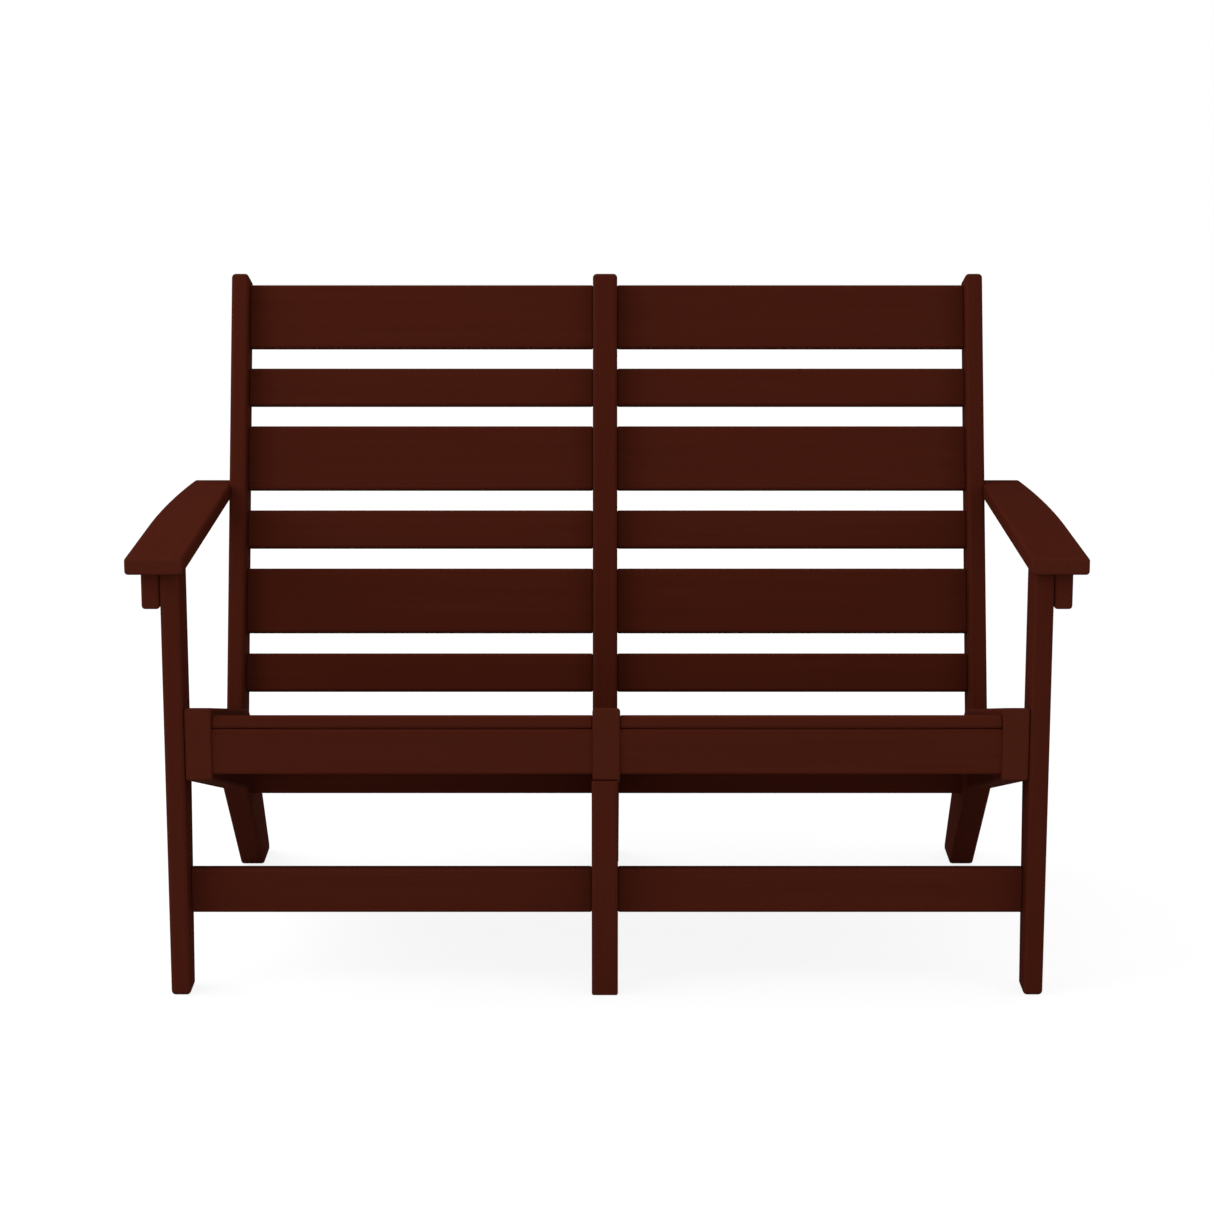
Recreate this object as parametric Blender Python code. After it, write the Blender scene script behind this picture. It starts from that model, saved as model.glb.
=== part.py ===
"""A two-seat garden loveseat of moulded plastic boards on three side frames.

Metres, +Z up. The seat faces -Y, and left is -X, as someone in front of it sees it.
The boards are placed from the front face of the seat rails (y = 0) and the floor
(z = 0), and one empty moves the whole to its origin, the middle of its floor area.
"""

import math

import bmesh
import bpy
from mathutils import Vector

# Clearances and overruns
FIT_GAP = 0.0003
CUT_OVERRUN = 0.004

# Rounded edges of the boards
EDGE_RADIUS = 0.0050
SMALL_EDGE_RADIUS = 0.0025
SHARP_EDGE_ANGLE = math.radians(30.0)
VISIBLE_ROUNDING_STEPS = 2
HIDDEN_ROUNDING_STEPS = 1

# Seat rails, each one board with its rear leg
RAIL_OUTER_FACE_X = 0.5831
RAIL_THICKNESS = 0.0375
CENTRE_RAIL_THICKNESS = 0.0385
RAIL_TOP_FRONT_Z = 0.4147
RAIL_FRONT_HEIGHT = 0.1037
RAIL_TOP_SLOPE = math.radians(14.18)
RAIL_UNDERSIDE_SLOPE = math.radians(16.86)
RAIL_TOP_LENGTH = 0.4700
RAIL_HEEL_SLOPE = math.radians(36.80)
RAIL_HEEL_RUN = 0.0550
REAR_FOOT_FRONT_Y = 0.6347
REAR_FOOT_LENGTH = 0.0800
REAR_TIP_HEIGHT = 0.0120
REAR_LEG_FRONT_SLOPE = math.radians(40.60)
CENTRE_RAIL_SHIFT = -0.0010

# Front legs
LEG_THICKNESS = 0.0275
LEG_FRONT_Y = -0.0030
LEG_DEPTH = 0.0790
LEG_FOOT_DEPTH = 0.0530
LEG_TAPER_START_Z = 0.2995
CENTRE_POST_SHIFT = -0.0030
CENTRE_LEG_THICKNESS = 0.0367

# Back uprights
UPRIGHT_THICKNESS = 0.0262
CENTRE_UPRIGHT_THICKNESS = 0.0375
UPRIGHT_FRONT_Y = 0.4497
UPRIGHT_FRONT_Z = 0.3140
UPRIGHT_RECLINE = math.radians(17.83)
UPRIGHT_LENGTH = 0.6589
UPRIGHT_DEPTH = 0.0814
UPRIGHT_TOP_DEPTH = 0.0667
TENON_LENGTH = 0.0700
CENTRE_TENON_THICKNESS = 0.0220

# Back slats
BACK_ROWS = ("wide", "narrow", "wide", "narrow", "wide", "narrow")
WIDE_SLAT = 0.0992
NARROW_SLAT = 0.0585
BACK_SLAT_THICKNESS = 0.0185
BACK_SLAT_SETBACK = 0.0270
BACK_TOP_MARGIN = 0.0126
BACK_BOTTOM_MARGIN = 0.0162

# Seat slats and the cleats that carry them
SEAT_SLAT_COUNT = 4
SEAT_SLAT_WIDTH = 0.0992
SEAT_SLAT_GAP = 0.0130
SEAT_SLAT_THICKNESS = 0.0185
SEAT_FRONT_Y = 0.0070
SEAT_RECESS = 0.0098
CLEAT_WIDTH = 0.0380
CLEAT_THICKNESS = 0.0220
CLEAT_FRONT_Y = 0.0800
CLEAT_END_MARGIN = 0.0080

# Boards across the frame
APRON_FRONT_Y = 0.0040
APRON_THICKNESS = 0.0190
APRON_BOTTOM_Z = 0.3184
STRETCHER_FRONT_Y = 0.0300
STRETCHER_THICKNESS = 0.0190
STRETCHER_BOTTOM_Z = 0.1106
STRETCHER_HEIGHT = 0.0645
CROSS_MEMBER_FRONT_Y = 0.4900
CROSS_MEMBER_THICKNESS = 0.0190
CROSS_MEMBER_BOTTOM_Z = 0.1567

# Arms and the blocks that hold them to the legs
ARM_UNDERSIDE_Z = 0.6058
ARM_THICKNESS = 0.0241
ARM_WIDTH = 0.0802
ARM_REAR_WIDTH = 0.0600
ARM_NOTCH_DEPTH = 0.0025
ARM_FRONT_Y = -0.0255
ARM_REAR_REACH = 0.0424
ARM_CURVE_START_Y = 0.2244
ARM_CURVE_STEPS = 8
BRACKET_THICKNESS = 0.0254
BRACKET_HEIGHT = 0.0528
BRACKET_DEPTH = 0.0650
BRACKET_SETBACK = 0.0020

# Screw holes, pins and bolts
FASTENER_SIDES = 8
SCREW_HEAD_RADIUS = 0.0045
SCREW_HEAD_HEIGHT = 0.0030
SCREW_SHANK_RADIUS = 0.0024
SCREW_SINK = 0.0008
LONG_SCREW_LENGTH = 0.0600
SEAT_SCREW_LENGTH = 0.0340
CLEAT_SCREW_LENGTH = 0.0600
UPRIGHT_BOLT_LENGTH = 0.0350
BRACKET_SCREW_LENGTH = 0.0450
ARM_SCREW_LENGTH = 0.0520
ARM_SCREW_SINK = 0.0160
PIN_RADIUS = 0.0040
PIN_REACH = 0.0220
ARM_PIN_REACH = 0.0180
POST_PIN_REACH = 0.0300
BOLT_RADIUS = 0.0040
BOLT_HEAD_RADIUS = 0.0080
BOLT_HEAD_HEIGHT = 0.0050
BOLT_SINK = 0.0010
BOLT_TAIL = 0.0020
NUT_RADIUS = 0.0074
NUT_HEIGHT = 0.0065
NUT_SIDES = 6
SCREW_EDGE_SHARE = 0.25
BOLT_Y = 0.0460
BOLT_EDGE = 0.0240
BOLT_SPACING = 0.0340
CROSS_SCREW_RISE = 0.0180
CROSS_SCREW_SPACING = 0.0280
ARM_PIN_SETBACK = 0.0205

# Finishes: base colour, roughness, metallic
BOARD_COLOUR = (0.0545, 0.0103, 0.0052, 1.0)
BOARD_ROUGHNESS = 0.50
STEEL_COLOUR = (0.55, 0.54, 0.52, 1.0)
STEEL_ROUGHNESS = 0.32
HIDDEN_STEEL_ROUGHNESS = 0.45

# Worked out from the sizes above
SIDES = (("left", -1.0), ("right", 1.0))
RAIL_CENTRE_X = RAIL_OUTER_FACE_X - RAIL_THICKNESS / 2.0
RAIL_INNER_FACE_X = RAIL_OUTER_FACE_X - RAIL_THICKNESS
LEG_OUTER_FACE_X = RAIL_OUTER_FACE_X + FIT_GAP + LEG_THICKNESS
UPRIGHT_OUTER_FACE_X = RAIL_CENTRE_X + UPRIGHT_THICKNESS / 2.0
UPRIGHT_INNER_FACE_X = RAIL_CENTRE_X - UPRIGHT_THICKNESS / 2.0
ARM_INNER_FACE_X = UPRIGHT_OUTER_FACE_X - ARM_NOTCH_DEPTH
ARM_MIDDLE_Z = ARM_UNDERSIDE_Z + ARM_THICKNESS / 2.0
RAIL_HEEL_Y = RAIL_TOP_LENGTH + RAIL_HEEL_RUN
REAR_FOOT_BACK_Y = REAR_FOOT_FRONT_Y + REAR_FOOT_LENGTH
ALONG_BACK = Vector((0.0, math.sin(UPRIGHT_RECLINE), math.cos(UPRIGHT_RECLINE)))
BEHIND_BACK = Vector((0.0, math.cos(UPRIGHT_RECLINE), -math.sin(UPRIGHT_RECLINE)))
ALONG_SEAT = Vector((0.0, math.cos(RAIL_TOP_SLOPE), -math.sin(RAIL_TOP_SLOPE)))
ABOVE_SEAT = Vector((0.0, math.sin(RAIL_TOP_SLOPE), math.cos(RAIL_TOP_SLOPE)))


def rail_top(y):
    """Height of the rails' sloping top edge at a distance behind their front."""
    return RAIL_TOP_FRONT_Z - y * math.tan(RAIL_TOP_SLOPE)


def rail_heel(y):
    """Height of the steeper end of the rails' top edge, which lies behind the seat."""
    return rail_top(RAIL_TOP_LENGTH) - (y - RAIL_TOP_LENGTH) * math.tan(RAIL_HEEL_SLOPE)


def rail_underside(y):
    """Height of the rails' underside, as far back as the rear leg."""
    return RAIL_TOP_FRONT_Z - RAIL_FRONT_HEIGHT - y * math.tan(RAIL_UNDERSIDE_SLOPE)


def seat_top(y):
    """Height of the seat slats' top face, which lies below the rails' top edge."""
    return rail_top(y) - SEAT_RECESS / math.cos(RAIL_TOP_SLOPE)


def seat_underside(y):
    """Height of the seat slats' lower face."""
    return seat_top(y) - SEAT_SLAT_THICKNESS / math.cos(RAIL_TOP_SLOPE)


def back_point(along, behind):
    """Point of the side view at a distance along and behind the uprights' front edge."""
    foot = Vector((0.0, UPRIGHT_FRONT_Y, UPRIGHT_FRONT_Z))
    return foot + ALONG_BACK * along + BEHIND_BACK * behind


def upright_depth(along):
    """Depth of the tapered uprights at a distance along them."""
    share = along / UPRIGHT_LENGTH
    return UPRIGHT_DEPTH + (UPRIGHT_TOP_DEPTH - UPRIGHT_DEPTH) * share


def upright_front(z):
    """Distance behind the rails' front of the uprights' front edge at a height."""
    return UPRIGHT_FRONT_Y + (z - UPRIGHT_FRONT_Z) * math.tan(UPRIGHT_RECLINE)


def shoulder_along(behind):
    """Distance along the back where a line parallel to the uprights meets the rails' top."""
    start = back_point(0.0, behind)
    rise = math.cos(UPRIGHT_RECLINE) + math.sin(UPRIGHT_RECLINE) * math.tan(RAIL_TOP_SLOPE)
    return (rail_top(start.y) - start.z) / rise


# The whole part hangs on one empty, which centres it on its floor area
def clear_scene():
    """Remove whatever the file holds."""
    for old in list(bpy.data.objects):
        bpy.data.objects.remove(old, do_unlink=True)


def add_root():
    """Empty that every piece hangs on, so that the origin is the middle of the floor area."""
    root = bpy.data.objects.new("loveseat", None)
    root.location = (0.0, -(ARM_FRONT_Y + REAR_FOOT_BACK_Y) / 2.0, 0.0)
    bpy.context.scene.collection.objects.link(root)
    return root


def finish_material(name, colour, roughness, metallic):
    """Plain Principled material for one piece."""
    material = bpy.data.materials.new(name + "_finish")
    material.use_nodes = True
    shader = material.node_tree.nodes["Principled BSDF"]
    shader.inputs["Base Color"].default_value = colour
    shader.inputs["Roughness"].default_value = roughness
    shader.inputs["Metallic"].default_value = metallic
    material.diffuse_color = colour
    return material


def add_piece(name, shape, root, location=(0.0, 0.0, 0.0), turn=0.0):
    """Object from a bmesh, placed under the root and turned about X."""
    bmesh.ops.recalc_face_normals(shape, faces=shape.faces)
    mesh = bpy.data.meshes.new(name)
    shape.to_mesh(mesh)
    shape.free()
    piece = bpy.data.objects.new(name, mesh)
    piece.parent = root
    piece.location = location
    piece.rotation_euler = (turn, 0.0, 0.0)
    bpy.context.scene.collection.objects.link(piece)
    return piece


# Boards
def round_edges(piece, radius, steps):
    """Bevel modifier on the edges that carry a weight."""
    bevel = piece.modifiers.new("rounded_edges", "BEVEL")
    bevel.limit_method = "WEIGHT"
    bevel.width = radius
    bevel.segments = steps
    bevel.use_clamp_overlap = True


def weigh_edges(shape, round_ends, end_positions):
    """Mark the edges to round: sharp ones, with or without those of the two ends."""
    weights = shape.edges.layers.float.new("bevel_weight_edge")
    for edge in shape.edges:
        if edge.calc_face_angle(0.0) < SHARP_EDGE_ANGLE:
            continue
        on_end = any(
            all(abs(corner.co.x - end) < FIT_GAP for corner in edge.verts)
            for end in end_positions
        )
        if on_end and not round_ends:
            continue
        edge[weights] = 1.0


def board(name, root, outline, x_low, x_high, radius=EDGE_RADIUS, steps=VISIBLE_ROUNDING_STEPS,
          round_ends=True):
    """Board with a side outline of (y, z) points, running from one x to another."""
    middle = Vector((
        (x_low + x_high) / 2.0,
        sum(point[0] for point in outline) / len(outline),
        sum(point[1] for point in outline) / len(outline),
    ))
    half = (x_high - x_low) / 2.0
    shape = bmesh.new()
    rings = []
    for end in (-half, half):
        rings.append([shape.verts.new((end, y - middle.y, z - middle.z)) for y, z in outline])
    shape.faces.new(rings[0])
    shape.faces.new(reversed(rings[1]))
    for index in range(len(outline)):
        following = (index + 1) % len(outline)
        shape.faces.new((
            rings[0][index], rings[1][index], rings[1][following], rings[0][following],
        ))
    bmesh.ops.recalc_face_normals(shape, faces=shape.faces)
    weigh_edges(shape, round_ends, (-half, half))
    piece = add_piece(name, shape, root, middle)
    round_edges(piece, radius, steps)
    piece.data.materials.append(finish_material(name, BOARD_COLOUR, BOARD_ROUGHNESS, 0.0))
    return piece


def batten(name, root, x_low, x_high, centre, thickness, height, turn):
    """Straight batten along X, turned about its own length, with square-cut ends."""
    half = (x_high - x_low) / 2.0
    shape = bmesh.new()
    bmesh.ops.create_cube(shape, size=1.0)
    bmesh.ops.scale(shape, vec=(x_high - x_low, thickness, height), verts=shape.verts)
    weigh_edges(shape, False, (-half, half))
    place = Vector(((x_low + x_high) / 2.0, centre.y, centre.z))
    piece = add_piece(name, shape, root, place, turn)
    round_edges(piece, EDGE_RADIUS, VISIBLE_ROUNDING_STEPS)
    piece.data.materials.append(finish_material(name, BOARD_COLOUR, BOARD_ROUGHNESS, 0.0))
    return piece


def cut_with(pieces, cutter):
    """Subtract a hidden cutter from each of the pieces."""
    for piece in pieces:
        boolean = piece.modifiers.new("cut_" + cutter.name, "BOOLEAN")
        boolean.operation = "DIFFERENCE"
        boolean.solver = "EXACT"
        boolean.object = cutter


def hide_cutter(cutter):
    """Show a cutter as wires only and keep it out of renders."""
    cutter.hide_render = True
    cutter.display_type = "WIRE"
    return cutter


# Holes, pins, bolts and nuts
def across(direction):
    """Two unit vectors square to a direction."""
    sideways = abs(direction.y) < abs(direction.x) + abs(direction.z)
    side = Vector((0.0, 1.0, 0.0)) if sideways else Vector((1.0, 0.0, 0.0))
    first = (side - direction * side.dot(direction)).normalized()
    return first, direction.cross(first).normalized()


def ring_points(shape, start, direction, radius, distance, sides):
    """Corners of one regular ring round an axis."""
    first, second = across(direction)
    points = []
    for index in range(sides):
        angle = math.tau * (index + 0.5) / sides
        offset = first * (math.cos(angle) * radius) + second * (math.sin(angle) * radius)
        points.append(shape.verts.new(start + direction * distance + offset))
    return points


def bridge(shape, ring, following):
    """Faces between two rings of equal size."""
    count = len(ring)
    for index in range(count):
        after = (index + 1) % count
        shape.faces.new((ring[index], ring[after], following[after], following[index]))


def add_turned(shape, start, direction, profile, sides=FASTENER_SIDES):
    """Closed turned solid whose profile is (radius, distance) pairs along the axis."""
    rings = [
        ring_points(shape, start, direction, radius, distance, sides)
        for radius, distance in profile
    ]
    for ring, following in zip(rings, rings[1:]):
        bridge(shape, ring, following)
    shape.faces.new(rings[0])
    shape.faces.new(reversed(rings[-1]))


def add_ring(shape, start, direction, outer, inner, near, far, sides):
    """Closed ring between two distances along the axis."""
    outer_near = ring_points(shape, start, direction, outer, near, sides)
    outer_far = ring_points(shape, start, direction, outer, far, sides)
    inner_near = ring_points(shape, start, direction, inner, near, sides)
    inner_far = ring_points(shape, start, direction, inner, far, sides)
    bridge(shape, outer_near, outer_far)
    bridge(shape, outer_far, inner_far)
    bridge(shape, inner_far, inner_near)
    bridge(shape, inner_near, outer_near)


def add_turned_piece(name, root, start, direction, profile, sides=FASTENER_SIDES,
                     roughness=STEEL_ROUGHNESS):
    """Turned steel piece, such as a bolt or a pin."""
    shape = bmesh.new()
    add_turned(shape, start, direction, profile, sides)
    piece = add_piece(name, shape, root)
    dress_steel(piece, roughness)
    return piece


def dress_steel(piece, roughness):
    """Steel finish and smooth shading on a round piece."""
    piece.data.materials.append(finish_material(piece.name, STEEL_COLOUR, roughness, 1.0))
    piece.data.shade_smooth()
    piece.data.set_sharp_from_angle(angle=SHARP_EDGE_ANGLE)


def drill(name, root, places, profile, pieces):
    """Cut the same hole at each (start, direction) into the pieces."""
    holes = bmesh.new()
    for start, direction in places:
        add_turned(holes, start, direction, profile)
    cut_with(pieces, hide_cutter(add_piece(name, holes, root)))


def drill_for_screws(name, root, places, length, pieces, sink=SCREW_SINK):
    """Counterbores and pilot holes for flat-headed screws, the head below the surface."""
    neck = sink + SCREW_HEAD_HEIGHT + FIT_GAP
    profile = (
        (SCREW_HEAD_RADIUS + FIT_GAP, -CUT_OVERRUN),
        (SCREW_HEAD_RADIUS + FIT_GAP, neck),
        (SCREW_SHANK_RADIUS + FIT_GAP, neck),
        (SCREW_SHANK_RADIUS + FIT_GAP, length + FIT_GAP),
    )
    drill(name, root, places, profile, pieces)


def drill_for_pins(name, root, places, length, pieces):
    """Blind holes for straight pins, a little longer than the pins at both ends."""
    profile = ((PIN_RADIUS + FIT_GAP, -FIT_GAP), (PIN_RADIUS + FIT_GAP, length + FIT_GAP))
    drill(name, root, places, profile, pieces)


def add_pin(name, root, start, direction, length, pieces):
    """Straight steel pin in its blind holes."""
    profile = ((PIN_RADIUS, 0.0), (PIN_RADIUS, length))
    add_turned_piece(name, root, start, direction, profile, roughness=HIDDEN_STEEL_ROUGHNESS)
    drill_for_pins(name + "_hole", root, [(start, direction)], length, pieces)


def add_bolt(name, root, start, direction, length, bored_length, pieces):
    """Round-headed bolt, its head in a counterbore, through or into the pieces."""
    neck = BOLT_SINK + BOLT_HEAD_HEIGHT
    profile = (
        (BOLT_HEAD_RADIUS, BOLT_SINK),
        (BOLT_HEAD_RADIUS, neck),
        (BOLT_RADIUS, neck),
        (BOLT_RADIUS, length),
    )
    hole = (
        (BOLT_HEAD_RADIUS + FIT_GAP, -CUT_OVERRUN),
        (BOLT_HEAD_RADIUS + FIT_GAP, neck + FIT_GAP),
        (BOLT_RADIUS + FIT_GAP, neck + FIT_GAP),
        (BOLT_RADIUS + FIT_GAP, bored_length),
    )
    add_turned_piece(name, root, start, direction, profile)
    drill(name + "_hole", root, [(start, direction)], hole, pieces)


# Side frames
def rail_outline():
    """Side outline of a seat rail and its rear leg, cut from one board."""
    front_run = math.tan(REAR_LEG_FRONT_SLOPE)
    under_run = math.tan(RAIL_UNDERSIDE_SLOPE)
    under_start = RAIL_TOP_FRONT_Z - RAIL_FRONT_HEIGHT
    knee_y = (REAR_FOOT_FRONT_Y * front_run - under_start) / (front_run - under_run)
    return [
        (0.0, RAIL_TOP_FRONT_Z),
        (0.0, under_start),
        (knee_y, rail_underside(knee_y)),
        (REAR_FOOT_FRONT_Y, 0.0),
        (REAR_FOOT_BACK_Y, 0.0),
        (REAR_FOOT_BACK_Y, REAR_TIP_HEIGHT),
        (RAIL_HEEL_Y, rail_heel(RAIL_HEEL_Y)),
        (RAIL_TOP_LENGTH, rail_top(RAIL_TOP_LENGTH)),
    ]


def add_mortise(name, root, rail, x_middle, thickness):
    """Pocket in a rail's top edge for the lower end of an upright."""
    front_shoulder = shoulder_along(0.0)
    low = front_shoulder - TENON_LENGTH - FIT_GAP
    high = front_shoulder + UPRIGHT_DEPTH
    corners = []
    for along, behind in (
        (high, -FIT_GAP),
        (low, -FIT_GAP),
        (low, upright_depth(low) + FIT_GAP),
        (high, upright_depth(high) + FIT_GAP),
    ):
        point = back_point(along, behind)
        corners.append((point.y, point.z))
    half = thickness / 2.0 + FIT_GAP
    cutter = board(name, root, corners, x_middle - half, x_middle + half)
    cutter.modifiers.clear()
    cut_with([rail], hide_cutter(cutter))


def upright_outline():
    """Side outline of an upright from its tenon's end to its top."""
    low = shoulder_along(0.0) - TENON_LENGTH
    corners = (
        back_point(low, 0.0),
        back_point(low, upright_depth(low)),
        back_point(UPRIGHT_LENGTH, UPRIGHT_TOP_DEPTH),
        back_point(UPRIGHT_LENGTH, 0.0),
    )
    return [(point.y, point.z) for point in corners]


def cut_shoulders(root, upright, middle):
    """Narrow the centre upright's lower end to a tenon, with shoulders on the rail's top."""
    reach = CENTRE_UPRIGHT_THICKNESS / 2.0 + CUT_OVERRUN
    near = UPRIGHT_FRONT_Y - UPRIGHT_DEPTH
    low = rail_heel(RAIL_HEEL_Y) - TENON_LENGTH
    lift = FIT_GAP / math.cos(RAIL_HEEL_SLOPE)
    outline = [
        (near, rail_top(near) + lift),
        (near, low),
        (RAIL_HEEL_Y, low),
        (RAIL_HEEL_Y, rail_heel(RAIL_HEEL_Y) + lift),
        (RAIL_TOP_LENGTH, rail_top(RAIL_TOP_LENGTH) + lift),
    ]
    for side, sign in SIDES:
        inner = middle + sign * CENTRE_TENON_THICKNESS / 2.0
        outer = middle + sign * reach
        cutter = board("shoulder_cut_" + side, root, outline, min(inner, outer), max(inner, outer))
        cutter.modifiers.clear()
        cut_with([upright], hide_cutter(cutter))


def leg_outline():
    """Side outline of an outer front leg, tapered below the rail."""
    top = ARM_UNDERSIDE_Z - FIT_GAP
    return [
        (LEG_FRONT_Y, 0.0),
        (LEG_FRONT_Y + LEG_FOOT_DEPTH, 0.0),
        (LEG_FRONT_Y + LEG_DEPTH, LEG_TAPER_START_Z),
        (LEG_FRONT_Y + LEG_DEPTH, top),
        (LEG_FRONT_Y, top),
    ]


def centre_leg_outline():
    """Side outline of the centre front leg, which stands under its rail."""
    back = LEG_FRONT_Y + LEG_DEPTH
    drop = FIT_GAP / math.cos(RAIL_UNDERSIDE_SLOPE)
    return [
        (LEG_FRONT_Y, 0.0),
        (LEG_FRONT_Y + LEG_FOOT_DEPTH, 0.0),
        (back, rail_underside(back) - drop),
        (LEG_FRONT_Y, rail_underside(LEG_FRONT_Y) - drop),
    ]


def mirrored(sign, inner, outer):
    """Low and high x of a board between two distances from the middle."""
    return (inner, outer) if sign > 0.0 else (-outer, -inner)


def build_side_frames(root):
    """Rails with rear legs, front legs and uprights, at both sides and in the middle."""
    parts = {}
    for side, sign in SIDES:
        low, high = mirrored(sign, RAIL_INNER_FACE_X, RAIL_OUTER_FACE_X)
        parts["rail_" + side] = board("rail_and_rear_leg_" + side, root, rail_outline(), low, high)
        add_mortise("mortise_" + side, root, parts["rail_" + side], sign * RAIL_CENTRE_X,
                    UPRIGHT_THICKNESS)
        low, high = mirrored(sign, RAIL_OUTER_FACE_X + FIT_GAP, LEG_OUTER_FACE_X)
        parts["leg_" + side] = board("front_leg_" + side, root, leg_outline(), low, high)
        low, high = mirrored(sign, UPRIGHT_INNER_FACE_X, UPRIGHT_OUTER_FACE_X)
        parts["upright_" + side] = board("back_upright_" + side, root, upright_outline(), low, high)
    half_rail = CENTRE_RAIL_THICKNESS / 2.0
    parts["rail_centre"] = board("rail_and_rear_leg_centre", root, rail_outline(),
                                 CENTRE_RAIL_SHIFT - half_rail, CENTRE_RAIL_SHIFT + half_rail)
    add_mortise("mortise_centre", root, parts["rail_centre"], CENTRE_POST_SHIFT,
                CENTRE_TENON_THICKNESS)
    half_leg = CENTRE_LEG_THICKNESS / 2.0
    parts["leg_centre"] = board("front_leg_centre", root, centre_leg_outline(),
                                CENTRE_POST_SHIFT - half_leg, CENTRE_POST_SHIFT + half_leg)
    half_upright = CENTRE_UPRIGHT_THICKNESS / 2.0
    parts["upright_centre"] = board("back_upright_centre", root, upright_outline(),
                                    CENTRE_POST_SHIFT - half_upright,
                                    CENTRE_POST_SHIFT + half_upright)
    cut_shoulders(root, parts["upright_centre"], CENTRE_POST_SHIFT)
    return parts


# Back, seat and the boards across
def bay(sign, outer_face, middle, middle_thickness):
    """Low and high x of a board between an outer frame and the centre frame."""
    if sign > 0.0:
        return middle + middle_thickness / 2.0 + FIT_GAP, outer_face - FIT_GAP
    return -outer_face + FIT_GAP, middle - middle_thickness / 2.0 - FIT_GAP


def back_rows():
    """Number, middle along the back and width of each row of slats, evenly spaced from the top."""
    widths = [WIDE_SLAT if kind == "wide" else NARROW_SLAT for kind in BACK_ROWS]
    top = UPRIGHT_LENGTH - BACK_TOP_MARGIN
    gap = (top - BACK_BOTTOM_MARGIN - sum(widths)) / (len(widths) - 1)
    for number, width in enumerate(widths, start=1):
        yield number, top - width / 2.0, width
        top -= width + gap


def back_fixings():
    """Side-view points where the slats are fixed to the uprights."""
    behind = BACK_SLAT_SETBACK + BACK_SLAT_THICKNESS / 2.0
    points = []
    for _, middle, width in back_rows():
        spread = width * SCREW_EDGE_SHARE
        offsets = (-spread, spread) if width > (WIDE_SLAT + NARROW_SLAT) / 2.0 else (0.0,)
        points.extend(back_point(middle + offset, behind) for offset in offsets)
    return points


def build_back(root, parts):
    """Six rows of slats in each bay, screwed outside and pinned in the middle."""
    slats = {"left": [], "right": []}
    behind = BACK_SLAT_SETBACK + BACK_SLAT_THICKNESS / 2.0
    for side, sign in SIDES:
        low, high = bay(sign, UPRIGHT_INNER_FACE_X, CENTRE_POST_SHIFT, CENTRE_UPRIGHT_THICKNESS)
        for number, middle, width in back_rows():
            name = "back_slat_" + side + "_" + str(number)
            slats[side].append(batten(name, root, low, high, back_point(middle, behind),
                                      BACK_SLAT_THICKNESS, width, -UPRIGHT_RECLINE))
        places = []
        for point in back_fixings():
            start = Vector((sign * UPRIGHT_OUTER_FACE_X, point.y, point.z))
            places.append((start, Vector((-sign, 0.0, 0.0))))
        drill_for_screws("back_slat_screw_holes_" + side, root, places, LONG_SCREW_LENGTH,
                         [parts["upright_" + side]] + slats[side])
    length = CENTRE_UPRIGHT_THICKNESS + PIN_REACH * 2.0
    places = []
    for point in back_fixings():
        start = Vector((CENTRE_POST_SHIFT - length / 2.0, point.y, point.z))
        places.append((start, Vector((1.0, 0.0, 0.0))))
    drill_for_pins("back_slat_pin_holes", root, places, length,
                   [parts["upright_centre"]] + slats["left"] + slats["right"])


def seat_rows():
    """Number and middle of each seat slat, as a point of the side view."""
    front = Vector((0.0, SEAT_FRONT_Y, seat_top(SEAT_FRONT_Y)))
    for number in range(1, SEAT_SLAT_COUNT + 1):
        along = SEAT_SLAT_WIDTH / 2.0 + (number - 1) * (SEAT_SLAT_WIDTH + SEAT_SLAT_GAP)
        yield number, front + ALONG_SEAT * along - ABOVE_SEAT * (SEAT_SLAT_THICKNESS / 2.0)


def cleat_centres():
    """Length of the cleats along the seat, and their middle in the side view."""
    seat_depth = SEAT_SLAT_COUNT * (SEAT_SLAT_WIDTH + SEAT_SLAT_GAP) - SEAT_SLAT_GAP
    set_back = (CLEAT_FRONT_Y - SEAT_FRONT_Y) / math.cos(RAIL_TOP_SLOPE)
    length = seat_depth - set_back - CLEAT_END_MARGIN
    front = Vector((0.0, CLEAT_FRONT_Y, seat_underside(CLEAT_FRONT_Y)))
    sunk = ABOVE_SEAT * (FIT_GAP + CLEAT_THICKNESS / 2.0)
    return length, front + ALONG_SEAT * (length / 2.0) - sunk


def cleat(name, root, x_low, x_high):
    """Cleat along a rail's inner face, under the ends of the seat slats."""
    length, middle = cleat_centres()
    shape = bmesh.new()
    bmesh.ops.create_cube(shape, size=1.0)
    bmesh.ops.scale(shape, vec=(x_high - x_low, length, CLEAT_THICKNESS), verts=shape.verts)
    weigh_edges(shape, True, ())
    place = Vector(((x_low + x_high) / 2.0, middle.y, middle.z))
    piece = add_piece(name, shape, root, place, -RAIL_TOP_SLOPE)
    round_edges(piece, SMALL_EDGE_RADIUS, HIDDEN_ROUNDING_STEPS)
    piece.data.materials.append(finish_material(name, BOARD_COLOUR, BOARD_ROUGHNESS, 0.0))
    return piece


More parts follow.
